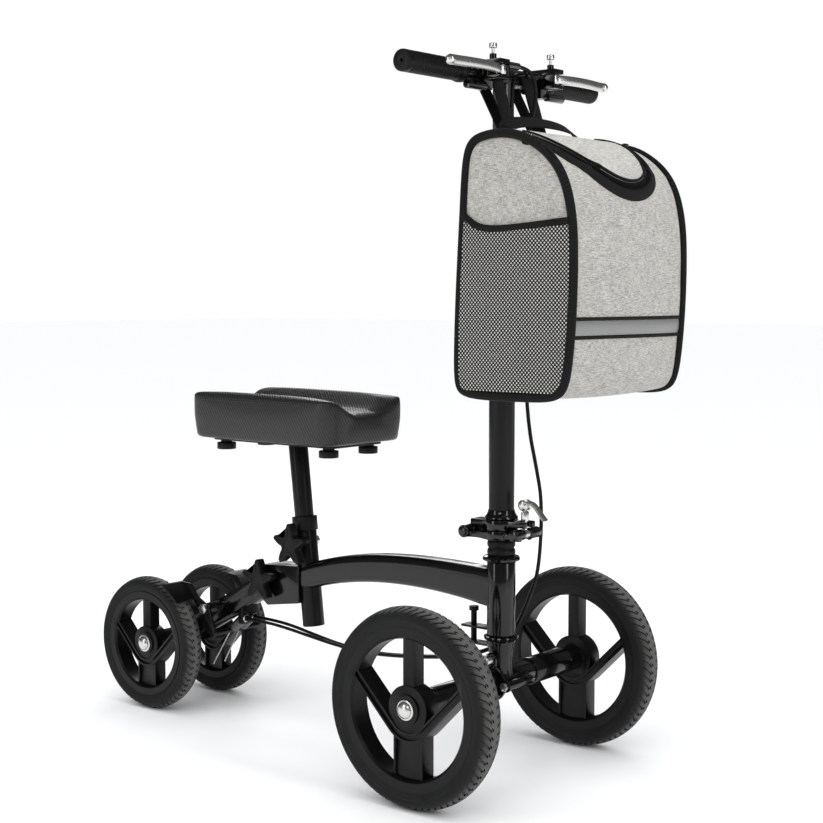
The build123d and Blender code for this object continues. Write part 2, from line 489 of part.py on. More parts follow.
# ---- fork and front axle ------------------------------------------------------------------
def fork_stem():
    """Steerer, crown, cross sleeve, pinch tube and lock tab, welded into one piece."""
    axle_z = FRONT_WHEEL.radius
    crown_top = HEAD_LOW - RING_HEIGHT - FREE_GAP
    body = rod((0, 0, crown_top - 1), (0, 0, FOLD_SPLIT - 2), STEERER_RADIUS)
    body += Solid.make_cone(CROWN_FOOT_RADIUS, CROWN_RADIUS, 18, Plane(origin=(0, 0, crown_top - 22)))
    body += rod((0, 0, crown_top - 4), (0, 0, crown_top), CROWN_RADIUS)
    body += rod((0, 0, axle_z), (0, 0, crown_top - 22), CROWN_FOOT_RADIUS)
    body += rod((0, SLEEVE_RIGHT, axle_z), (0, SLEEVE_LEFT, axle_z), SLEEVE_RADIUS)
    pinch_z = axle_z - PINCH_DROP
    body += rod((PINCH_X, SLEEVE_RIGHT, pinch_z), (PINCH_X, PINCH_TUBE_LEFT, pinch_z), PINCH_TUBE_RADIUS)
    body += block((8, PINCH_X), (SLEEVE_RIGHT + 6, PINCH_TUBE_LEFT - 6), (pinch_z - 4, pinch_z + 2))
    tab = block((LOCK_REACH + 2, -8), (-LOCK_HALF_WIDTH, LOCK_HALF_WIDTH),
                (LOCK_LOWER_Z, LOCK_LOWER_Z + LOCK_PLATE))
    tab -= rod((LOCK_X, 0, LOCK_LOWER_Z - 1), (LOCK_X, 0, LOCK_LOWER_Z + LOCK_PLATE + 1),
               LOCK_PIN_RADIUS + FREE_GAP)
    body += tab
    body -= rod((PINCH_X, SLEEVE_RIGHT - 1, pinch_z), (PINCH_X, PINCH_TUBE_LEFT + 1, pinch_z), PINCH_RADIUS)
    body -= rod((0, SLEEVE_RIGHT - 1, axle_z), (0, SLEEVE_LEFT + 1, axle_z), AXLE_CORE_RADIUS)
    body -= rod((0, 0, crown_top - 10), (0, 0, FOLD_SPLIT), STEERER_RADIUS - 3)
    return body.solid()


def front_axle():
    """Both axle tubes on the core that passes through the fork's sleeve."""
    z = FRONT_WHEEL.radius
    end = FRONT_TRACK / 2 - FRONT_WHEEL.hub_half - SPINDLE_NOSE
    body = rod((0, SLEEVE_RIGHT - FLANGE_THICKNESS, z), (0, SLEEVE_LEFT, z), AXLE_CORE_RADIUS)
    body += rod((0, -end, z), (0, SLEEVE_RIGHT - FLANGE_THICKNESS, z), AXLE_RADIUS)
    body += rod((0, SLEEVE_LEFT, z), (0, end, z), AXLE_RADIUS)
    body += rod((0, -end - SPINDLE_NOSE, z), (0, end + SPINDLE_NOSE, z), SPINDLE_RADIUS + 2.5)
    plug = end - BOLT_SEAT_DEPTH - 4
    body -= rod((0, -plug, z), (0, SLEEVE_RIGHT - 12, z), AXLE_RADIUS - AXLE_WALL)
    body -= rod((0, SLEEVE_LEFT + 8, z), (0, plug, z), AXLE_RADIUS - AXLE_WALL)
    body -= rod((0, -end - SPINDLE_NOSE, z), (0, end + SPINDLE_NOSE, z), SPINDLE_RADIUS)
    return body.solid()


def axle_flange():
    """Plate between the sleeve and the right axle tube, with ears for the cam bolt and the pinch bolt."""
    z, right = FRONT_WHEEL.radius, SLEEVE_RIGHT - FLANGE_THICKNESS
    pinch_z = z - PINCH_DROP
    body = rod((0, right, z), (0, SLEEVE_RIGHT, z), FLANGE_RADIUS)
    body += block((-9, 9), (right, SLEEVE_RIGHT), (z, CAM_Z))
    body += rod((0, right, CAM_Z), (0, SLEEVE_RIGHT, CAM_Z), 9)
    body += block((0, PINCH_X), (right, SLEEVE_RIGHT), (pinch_z - 8, pinch_z + 8))
    body += rod((PINCH_X, right, pinch_z), (PINCH_X, SLEEVE_RIGHT, pinch_z), 8)
    body -= rod((0, right - 1, z), (0, SLEEVE_RIGHT + 1, z), AXLE_CORE_RADIUS)
    body -= rod((0, right - 1, CAM_Z), (0, SLEEVE_RIGHT + 1, CAM_Z), CAM_BOLT_RADIUS)
    body -= rod((PINCH_X, right - 1, pinch_z), (PINCH_X, SLEEVE_RIGHT + 1, pinch_z), PINCH_RADIUS)
    return body.solid()


def axle_bolts():
    """Pinch bolt with its nut, and the cam's draw bolt with its round nut."""
    z, right = FRONT_WHEEL.radius - PINCH_DROP, SLEEVE_RIGHT - FLANGE_THICKNESS
    pinch = rod((PINCH_X, right, z), (PINCH_X, PINCH_TUBE_LEFT, z), PINCH_RADIUS)
    pinch += hexagon((PINCH_X, right - 5, z), (PINCH_X, right, z), 6.0)
    pinch += hexagon((PINCH_X, PINCH_TUBE_LEFT, z), (PINCH_X, PINCH_TUBE_LEFT + 4, z), 5.0)
    draw = rod((0, right - 14, CAM_Z), (0, SLEEVE_RIGHT, CAM_Z), CAM_BOLT_RADIUS)
    draw += rod((0, SLEEVE_RIGHT, CAM_Z), (0, SLEEVE_RIGHT + 3, CAM_Z), 6.0)
    return [pinch.solid(), draw.solid()]


def axle_cam_lever():
    """Eccentric on the end of the draw bolt, with its short thumb lever."""
    right = SLEEVE_RIGHT - FLANGE_THICKNESS
    near, far = right - 13, right - FREE_GAP
    body = rod((0, near, CAM_Z), (0, far, CAM_Z), CAM_RADIUS)
    body += side_plate([(0, CAM_Z - 4), (-24, CAM_Z + 1), (-26, CAM_Z + 6), (0, CAM_Z + 7)], near + 2,
                       far - 3)
    body -= rod((0, near - 2, CAM_Z), (0, far + 1, CAM_Z), CAM_BOLT_RADIUS + RUNNING_GAP)
    return body.solid()


# ---- fold joint ---------------------------------------------------------------------------
def rubber_spacer():
    height = (FOLD_BASE_LOW - SPACER_LOW) / SPACER_RIBS
    profile = [(STEERER_RADIUS, 0)]
    for rib in range(SPACER_RIBS):
        z = rib * height
        profile += [(SPACER_RADIUS - 1.5, z), (SPACER_RADIUS, z + 1.5), (SPACER_RADIUS, z + height - 1.5),
                    (SPACER_RADIUS - 1.5, z + height)]
    profile.append((STEERER_RADIUS, SPACER_RIBS * height))
    merged = [p for i, p in enumerate(profile) if i == 0 or p != profile[i - 1]]
    wire = Wire.make_polygon([(r, 0, z) for r, z in merged], close=True)
    return Solid.revolve(Face(wire), 360, Axis.Z).moved(Location((0, 0, SPACER_LOW)))


def across(x, z, low_y, high_y, radius):
    """A bar across the scooter."""
    return rod((x, low_y, z), (x, high_y, z), radius)


def fold_base():
    """Lower casting: round seat on the steerer, rear hinge barrels and front latch barrels."""
    body = rod((0, 0, FOLD_BASE_LOW), (0, 0, FOLD_SPLIT - FREE_GAP), FOLD_BODY_RADIUS)
    body += block((FOLD_X, 0), (-BARREL_HALF + 6, BARREL_HALF - 6), (FOLD_BASE_LOW + 2, FOLD_SPLIT - 3))
    body += block((0, LATCH_X), (-LATCH_BARREL_HALF + 12, LATCH_BARREL_HALF - 12),
                  (FOLD_BASE_LOW + 2, FOLD_SPLIT - 3))
    body += across(FOLD_X, FOLD_Z, -BARREL_HALF, BARREL_HALF, KNUCKLE_RADIUS)
    body += across(LATCH_X, LATCH_Z, -LATCH_BARREL_HALF, LATCH_BARREL_HALF, LATCH_BARREL_RADIUS)
    gap = KNUCKLE_HALF + FREE_GAP
    body -= block((FOLD_X - 20, FOLD_X + KNUCKLE_RADIUS + 1), (-gap, gap), (FOLD_BASE_LOW - 9, FOLD_TOP))
    slot = LATCH_EYE_RADIUS
    body -= block((LATCH_X - 9, LATCH_X + 20), (-slot, slot), (FOLD_BASE_LOW - 9, FOLD_TOP))
    body -= across(FOLD_X, FOLD_Z, -40, 40, FOLD_PIN_RADIUS)
    body -= rod((0, 0, FOLD_BASE_LOW - 1), (0, 0, FOLD_SPLIT + 1), STEERER_RADIUS)
    body += across(LATCH_X, LATCH_Z, -slot - 1, slot + 1, LATCH_PIN_RADIUS)
    return body.solid()


def fold_head():
    """Upper casting: clamps the column's foot, hinges at the back and has a slotted latch lug in front."""
    body = rod((0, 0, FOLD_SPLIT), (0, 0, FOLD_TOP), FOLD_BODY_RADIUS)
    body += block((FOLD_X, 0), (-KNUCKLE_HALF, KNUCKLE_HALF), (FOLD_SPLIT + 1, FOLD_TOP - 2))
    body += across(FOLD_X, FOLD_Z, -KNUCKLE_HALF, KNUCKLE_HALF, KNUCKLE_RADIUS)
    body += block((0, LATCH_X + 8), (-13, 13), (LATCH_Z + LATCH_BARREL_RADIUS + 1, FOLD_TOP))
    body -= block((LATCH_X - 7, LATCH_X + 20), (-LATCH_SLOT, LATCH_SLOT), (FOLD_SPLIT - 5, FOLD_TOP + 5))
    body -= across(FOLD_X, FOLD_Z, -40, 40, FOLD_PIN_RADIUS + RUNNING_GAP)
    body -= rod((0, 0, FOLD_SPLIT + 2), (0, 0, FOLD_TOP + 1), COLUMN_RADIUS)
    return body.solid()


def fold_pin():
    body = across(FOLD_X, FOLD_Z, -BARREL_HALF, BARREL_HALF, FOLD_PIN_RADIUS)
    for side in (-1, 1):
        body += across(FOLD_X, FOLD_Z, side * BARREL_HALF, side * (BARREL_HALF + 2.5), 6.0)
    return body.solid()


def latch_bolt():
    """Eye bolt that swings on the lower barrels, with its spring and the cam's cross pin."""
    eye_half = LATCH_EYE_RADIUS - FREE_GAP
    body = across(LATCH_X, LATCH_Z, -eye_half, eye_half, LATCH_EYE_RADIUS)
    body += rod((LATCH_X, 0, LATCH_Z), (LATCH_X, 0, LATCH_CAM_Z), LATCH_ROD_RADIUS)
    body += across(LATCH_X, LATCH_CAM_Z, -LATCH_CAM_HALF, LATCH_CAM_HALF, LATCH_PIN_RADIUS)
    body -= across(LATCH_X, LATCH_Z, -20, 20, LATCH_PIN_RADIUS + RUNNING_GAP)
    spring = tube((LATCH_X, 0, FOLD_TOP + FREE_GAP), (LATCH_X, 0, LATCH_CAM_Z - LATCH_CAM_RADIUS - 1.5), 5.2,
                  LATCH_ROD_RADIUS)
    return (body + spring).solid()


def latch_lever():
    """Over-centre cam and its lever, which slopes forward and down when shut."""
    body = across(LATCH_X, LATCH_CAM_Z, -LATCH_CAM_HALF, LATCH_CAM_HALF, LATCH_CAM_RADIUS)
    z = LATCH_CAM_Z
    body += side_plate([(LATCH_X, z + 6.5), (LATCH_X + LATCH_LEVER_LENGTH, z - 14),
                        (LATCH_X + LATCH_LEVER_LENGTH - 3, z - 19),
                        (LATCH_X + 5, z - 1)], -8, 8)
    slot = LATCH_ROD_RADIUS + FREE_GAP
    body -= block((LATCH_X - 9, LATCH_X + 12), (-slot, slot), (z - 12, z + 3.5))
    body -= across(LATCH_X, z, -20, 20, LATCH_PIN_RADIUS + RUNNING_GAP)
    return body.solid()


# ---- column and handlebar -----------------------------------------------------------------
def column_tube():
    return tube((0, 0, FOLD_SPLIT + 2), (0, 0, COLUMN_TOP), COLUMN_RADIUS, STEM_RADIUS + RUNNING_GAP)


def height_clamp():
    """Split collar on the column's top, with two ears behind it and its skewer."""
    low = COLUMN_TOP - CLAMP_HEIGHT
    body = rod((0, 0, low), (0, 0, COLUMN_TOP), CLAMP_RADIUS)
    body += block((-CLAMP_LUG_REACH, -10), (-7, 7), (low + 4, COLUMN_TOP - 4))
    body -= rod((0, 0, low - 1), (0, 0, COLUMN_TOP + 1), COLUMN_RADIUS)
    body -= block((-CLAMP_LUG_REACH - 1, -COLUMN_RADIUS + 2), (-CLAMP_SLIT, CLAMP_SLIT),
                  (low - 1, COLUMN_TOP + 1))
    z = COLUMN_TOP - CLAMP_HEIGHT / 2
    body += across(SKEWER_X, z, -SKEWER_HALF, SKEWER_HALF + 3, SKEWER_RADIUS)
    body += across(SKEWER_X, z, -SKEWER_HALF, -7, 6.0)
    body += rod((SKEWER_X, SKEWER_HALF + 3, z - 7), (SKEWER_X, SKEWER_HALF + 3, z + 7), SKEWER_PIN_RADIUS)
    return body.solid()


def height_lever():
    """Quick-release lever of the height clamp, folded along the column; drawn on the left."""
    z, y = COLUMN_TOP - CLAMP_HEIGHT / 2, SKEWER_HALF + 3
    body = rod((SKEWER_X, y, z - 6), (SKEWER_X, y, z + 6), 6.0)
    outline = [(SKEWER_X - 4, y + 2), (SKEWER_X, y + 6), (SKEWER_X + 36, y + 21), (SKEWER_X + 38, y + 16),
               (SKEWER_X + 4, y)]
    wire = Wire.make_polygon([(x, yy, z - 6) for x, yy in outline], close=True)
    body += Solid.extrude(Face(wire), Vector(0, 0, 12))
    slot = SKEWER_RADIUS + FREE_GAP
    body -= block((SKEWER_X - 8, SKEWER_X + slot), (y - 8, y + slot), (z - slot, z + slot))
    body -= rod((SKEWER_X, y, z - 8), (SKEWER_X, y, z + 8), SKEWER_PIN_RADIUS + RUNNING_GAP)
    return max(body.solids(), key=lambda s: s.volume)


def handlebar():
    """Crossbar welded across the sliding stem."""
    z, end = BAR_HEIGHT, BAR_HALF_LENGTH - GRIP_CAP
    body = rod((0, 0, COLUMN_TOP - STEM_INSERTED), (0, 0, z), STEM_RADIUS)
    body += across(0, z, -end, end, BAR_RADIUS) + across(0, z, -TEE_HALF, TEE_HALF, TEE_RADIUS)
    body -= rod((0, 0, COLUMN_TOP - STEM_INSERTED - 1), (0, 0, z - 4), STEM_RADIUS - TUBE_WALL)
    body -= across(0, z, -end - 1, end + 1, BAR_RADIUS - TUBE_WALL)
    return body.solid()


def grip():
    """Rubber grip on the right-hand end, with its cap and vent hole."""
    end, z = -BAR_HALF_LENGTH, BAR_HEIGHT
    body = across(0, z, end, end + GRIP_LENGTH, GRIP_RADIUS)
    body = body.fillet(2.5, [e for e in body.edges() if e.geom_type == GeomType.CIRCLE])
    body -= across(0, z, end + GRIP_CAP, end + GRIP_LENGTH + 1, BAR_RADIUS)
    return (body - across(0, z, end - 1, end + GRIP_CAP + 1, 2.0)).solid()


def lever_body(barrel_x, barrel_z):
    """Right-hand brake lever body: bar clamp, blade slot, pivot pin, cable barrel and pin boss."""
    z = BAR_HEIGHT
    body = across(0, z, -PERCH_OUT, -PERCH_IN, PERCH_RADIUS)
    body += block((4, PERCH_FRONT), (-PERCH_OUT, -PERCH_IN), (z + PERCH_LOW, z + PERCH_HIGH))
    body += across(barrel_x, z + barrel_z, -PERCH_IN - 2, -PERCH_IN + BARREL_LENGTH, BARREL_RADIUS)
    body += across(20, z - 19, -104, -PERCH_OUT + 2, 5.5) + block((6, 22), (-PERCH_OUT, -PERCH_IN - 4),
                                                                  (z - 22, z - 8))
    boss_foot = z + PERCH_HIGH
    body += rod((PARK_X, -PARK_Y, boss_foot), (PARK_X, -PARK_Y, boss_foot + PARK_BOSS_HEIGHT),
                PARK_BOSS_RADIUS)
    low, high = z + BLADE_LOW - FREE_GAP, z + BLADE_HIGH + FREE_GAP
    body -= block((19, PERCH_FRONT + 1), (-PERCH_OUT - 1, -PERCH_IN - 1.5), (low, high))
    body -= across(0, z, -PERCH_OUT - 1, -PERCH_IN + 1, BAR_RADIUS)
    body -= rod((PARK_X, -PARK_Y, high - 1), (PARK_X, -PARK_Y, boss_foot + 20), PARK_RADIUS + RUNNING_GAP)
    body -= across(barrel_x, z + barrel_z, -PERCH_IN - 1, -PERCH_IN + BARREL_LENGTH + 1, WIRE_RADIUS + 0.4)
    body -= across(barrel_x, z + barrel_z, -PERCH_IN + BARREL_LENGTH - 6, -PERCH_IN + BARREL_LENGTH + 1,
                   CABLE_RADIUS)
    body += rod((BLADE_X, -BLADE_Y, low - 1), (BLADE_X, -BLADE_Y, high + 1), PIVOT_RADIUS)
    return body.solid()


def brake_blade():
    """Right-hand brake lever blade, bowed forward and ending in a rounded tip."""
    half = BLADE_THICKNESS / 2
    middle = [(BLADE_X, BLADE_Y), (BLADE_X + 9, BLADE_Y + 18), (BLADE_X + 12, BLADE_Y + 45),
              (BLADE_TIP_X + 3, BLADE_Y + 80),
              (BLADE_TIP_X, BLADE_TIP_Y - 6)]
    with BuildPart() as part:
        with BuildSketch(Plane.XY.offset(BAR_HEIGHT + BLADE_LOW)):
            with BuildLine():
                front = Spline(*[(x + half, -y) for x, y in middle])
                back = Spline(*[(x - half, -y) for x, y in middle])
                Line(front @ 0, back @ 0)
                Line(front @ 1, back @ 1)
            make_face()
            with Locations((BLADE_TIP_X, -BLADE_TIP_Y + 5)):
                Circle(5)
            with Locations((BLADE_X, -BLADE_Y)):
                Circle(7)
            with Locations((BLADE_X, -BLADE_Y)):
                Circle(PIVOT_RADIUS + RUNNING_GAP, mode=Mode.SUBTRACT)
        extrude(amount=BLADE_HIGH - BLADE_LOW)
    return part.part.solid()


def parking_pin():
    """Spring-loaded pin that holds the right-hand brake on."""
    tip = BAR_HEIGHT + BLADE_HIGH + 2 * FREE_GAP + PARK_TRAVEL
    head = BAR_HEIGHT + PARK_HEAD_Z
    body = rod((PARK_X, -PARK_Y, tip), (PARK_X, -PARK_Y, head), PARK_RADIUS)
    return (body + rod((PARK_X, -PARK_Y, head), (PARK_X, -PARK_Y, head + 6), PARK_HEAD_RADIUS)).solid()


# ---- bag ----------------------------------------------------------------------------------
def bag():
    """Zipped carry bag, drawn as its closed outer shape with a thin skin."""
    middle_x = sum(x for x, _ in BAG_SIDE) / len(BAG_SIDE)
    middle_z = (BAG_SIDE[0][1] + BAG_SIDE[10][1]) / 2
    outer = side_plate(BAG_SIDE, -BAG_HALF_WIDTH, BAG_HALF_WIDTH)
    inner = [(middle_x + (x - middle_x) * BAG_INNER_X, middle_z + (z - middle_z) * BAG_INNER_Z) for x,
             z in BAG_SIDE]
    return (outer - side_plate(inner, BAG_SKIN - BAG_HALF_WIDTH, BAG_HALF_WIDTH - BAG_SKIN)).solid()


def bag_strap(side):
    """Webbing loop from the bag's back edge, over the handlebar and down again."""
    inner, outer = BAR_RADIUS + FREE_GAP, BAR_RADIUS + FREE_GAP + STRAP_THICKNESS
    y0 = side * STRAP_MIDDLE_Y - STRAP_WIDTH / 2
    y1, z = y0 + STRAP_WIDTH, BAR_HEIGHT

    def touch(x, height, turn):
        """Angle at which a straight run to (x, height) leaves the bar."""
        return degrees(atan2(height - z, x) + turn * acos(inner / hypot(x, height - z)))

    def leg(angle, x, height):
        """One straight leg, from where it leaves the bar to the bag's edge."""
        c, s = cos(radians(angle)), sin(radians(angle))
        foot = [(x + STRAP_THICKNESS * c, height + STRAP_THICKNESS * s), (x, height)]
        return side_plate([(inner * c, z + inner * s), (outer * c, z + outer * s)] + foot, y0, y1)

    front_foot, rear_foot = STRAP_FEET
    front, rear = touch(*front_foot, 1), touch(*rear_foot, -1) + 360
    arc = across(0, z, y0, y1, outer) - across(0, z, y0 - 1, y1 + 1, inner)
    reach = 3 * outer
    fan = [(0, z)] + [(reach * cos(radians(a)), z + reach * sin(radians(a)))
                      for a in (front, (2 * front + rear) / 3, (front + 2 * rear) / 3, rear)]
    strap = (arc & side_plate(fan, y0 - 2, y1 + 2)) + leg(front, *front_foot) + leg(rear, *rear_foot)
    foot_low = min(front_foot[1], rear_foot[1])
    back = rear_foot[0] - STRAP_THICKNESS
    strap += side_plate([(back, rear_foot[1] + 1), (front_foot[0] + STRAP_THICKNESS, front_foot[1] + 1),
                         (BAG_SIDE[-3][0], foot_low - STRAP_TAIL), (back, foot_low - STRAP_TAIL)], y0, y1)
    return max((strap - bag_outline()).solids(), key=lambda s: s.volume)


def bag_outline():
    return side_plate(BAG_SIDE, -BAG_HALF_WIDTH, BAG_HALF_WIDTH)


# ---- brake arms ---------------------------------------------------------------------------
def brake_arm():
    """Right-hand brake arm: a shoe over the tyre, a side plate on the pivot bolt and the wire clamp."""
    x, z = REAR_X, REAR_WHEEL.radius
    inner = REAR_WHEEL.radius + SHOE_GAP
    outer = inner + SHOE_THICKNESS
    middle = REAR_TRACK / 2
    shoe_out = middle + REAR_WHEEL.width / 2 + 1

    def on_arc(radius, angle):
        return (x + radius * cos(radians(angle)), z + radius * sin(radians(angle)))

    wedge = [(x, z), on_arc(outer * 1.4, SHOE_START), on_arc(outer * 1.4, (SHOE_START + SHOE_END) / 2),
             on_arc(outer * 1.4, SHOE_END)]
    shoe = across(x, z, -shoe_out, -ARM_IN, outer) - across(x, z, -shoe_out - 1, -ARM_IN + 1, inner)
    shoe &= side_plate(wedge, -shoe_out - 2, -ARM_IN + 2)
    plate_points = [on_arc(outer - 1, SHOE_END), on_arc(outer + 9, SHOE_START + 12),
                    on_arc(outer + 5, SHOE_START),
                    (BRAKE_X + 9, BRAKE_Z + 4), (WIRE_CLAMP_X + 6, WIRE_CLAMP_Z + 2), (WIRE_CLAMP_X,
                                                                                       WIRE_CLAMP_Z - 6),
                    (WIRE_CLAMP_X - 8, WIRE_CLAMP_Z - 1), (BRAKE_X - 10, BRAKE_Z - 6), on_arc(outer - 6,
                                                                                              SHOE_START + 4),
                    on_arc(inner + 1, SHOE_START + 11)]
    plate = side_plate(plate_points, -ARM_OUT, -ARM_IN)
    body = shoe + plate
    body += across(WIRE_CLAMP_X, WIRE_CLAMP_Z, -ARM_IN - 1, -ANCHOR_Y + 5, 4.0)
    body -= across(BRAKE_X, BRAKE_Z, -60, -20, BRAKE_BOLT_RADIUS + RUNNING_GAP)
    return max(body.solids(), key=lambda s: s.volume)


def brake_springs():
    """Return springs round the inner wires, between the yoke and the brake arms."""
    start = (ANCHOR_X - 4, ANCHOR_Y, ANCHOR_Z)
    end = (WIRE_CLAMP_X + 7, ANCHOR_Y, WIRE_CLAMP_Z + 6)
    spring = tube(start, end, 4.2, 2.4)
    spring -= block((ANCHOR_X - 4, ANCHOR_X + 5), (-20, 20), (ANCHOR_Z - 20, ANCHOR_Z + 20))
    spring = spring.solid()
    return [spring, mirrored(spring)]


# ---- cables -------------------------------------------------------------------------------
def cable(points, radius):
    """A round cable along straight runs joined by arcs, each as large as its two runs allow."""
    radii = []
    for before, corner, after in zip(points, points[1:], points[2:]):
        a, b = Vector(*corner) - Vector(*before), Vector(*after) - Vector(*corner)
        radii.append(0.45 * min(a.length, b.length) / tan(radians(a.get_angle(b)) / 2))
    print("cable radii", [round(r) for r in radii])
    path = FilletPolyline(*points, radius=radii)
    section = Plane(origin=path @ 0, z_dir=path % 0) * Circle(radius)
    swept = sweep(section, path=path).solid()
    print("cable length", round(path.length), "volume / section / length",
          round(swept.volume / (pi * radius ** 2 * path.length), 3))
    return swept


BARREL_MOUTH = PERCH_IN - BARREL_LENGTH
RIGHT_BARREL, LEFT_BARREL = (34.0, 10.0), (24.0, 4.0)      # X, and height over the bar's axis


def halfway(a, b):
    """The point where one stretch of cable hands over to the next, in the middle of a straight run."""
    return tuple((p + q) / 2 for p, q in zip(a, b))


# Both cables cross in front of the stem, run down between the bag and the column, round the
# left side of the head tube and back under the beam. Each is cut where it crosses a joint.
RIGHT_TOP = [(34, -BARREL_MOUTH - 6, 10), (34, 4, 10), (36, 18, 0), (37, 22, -23), (33, 19, -52),
             (26, 17, -83),
             (18, 21, -116), (12.5, 29, -148)]
LEFT_TOP = [(24, BARREL_MOUTH + 6, 4), (24, -2, 4), (26, -14, -5), (27, -18, -27), (25, -16, -56),
            (22, -7, -86),
            (21, 7, -115), (24, 23, -140)]
RIGHT_UPPER = [(x, y, BAR_HEIGHT + up) for x, y, up in RIGHT_TOP]
RIGHT_UPPER += [(11, 33, 730), (12, 33, 668), (11, 33, 610), (12, 33, 554)]
LEFT_UPPER = [(x, y, BAR_HEIGHT + up) for x, y, up in LEFT_TOP]
LEFT_UPPER += [(22, 36, 746), (15, 41, 712), (10, 40, 664), (9, 40, 610), (8, 38.5, 554)]
RIGHT_MIDDLE = [(18, 35, 462), (29, 37, 412), (39, 38, 362)]
LEFT_MIDDLE = [(14, 40.5, 462), (25, 42.5, 412), (35, 43.5, 362)]
RIGHT_REAR = [(36, 36, 274), (25, 31, 238), (12, 28, 205), (-5, 27, 180), (-28, 16, 161), (-56, 2, 151),
              (-96, -7, 144),
              (-152, -10, 137), (-214, -9, 131), (-280, -7, 132), (-340, -8, 139), (-390, -9.4, 145.5),
              (-432, -ANCHOR_Y, ANCHOR_Z), (ANCHOR_X + 4, -ANCHOR_Y, ANCHOR_Z)]
LEFT_REAR = [(32, 41.5, 274), (21, 36.5, 238), (8, 33, 205), (-9, 32, 180), (-31, 22, 161), (-58, 9, 151),
             (-96, -0.5, 144),
             (-152, -3.5, 137), (-214, -2.5, 131), (-280, 0, 132), (-340, 3.5, 139), (-390, 7.4, 145.5),
             (-432, ANCHOR_Y, ANCHOR_Z), (ANCHOR_X + 4, ANCHOR_Y, ANCHOR_Z)]


def cable_stretches(upper, middle, rear):
    """One brake cable in its three stretches: to the column, past the fold, and along the frame."""
    column_end, fold_end = halfway(upper[-1], middle[0]), halfway(middle[-1], rear[0])
    routes = upper + [column_end], [column_end] + middle + [fold_end], [fold_end] + rear
    return [cable(route, CABLE_RADIUS) for route in routes]


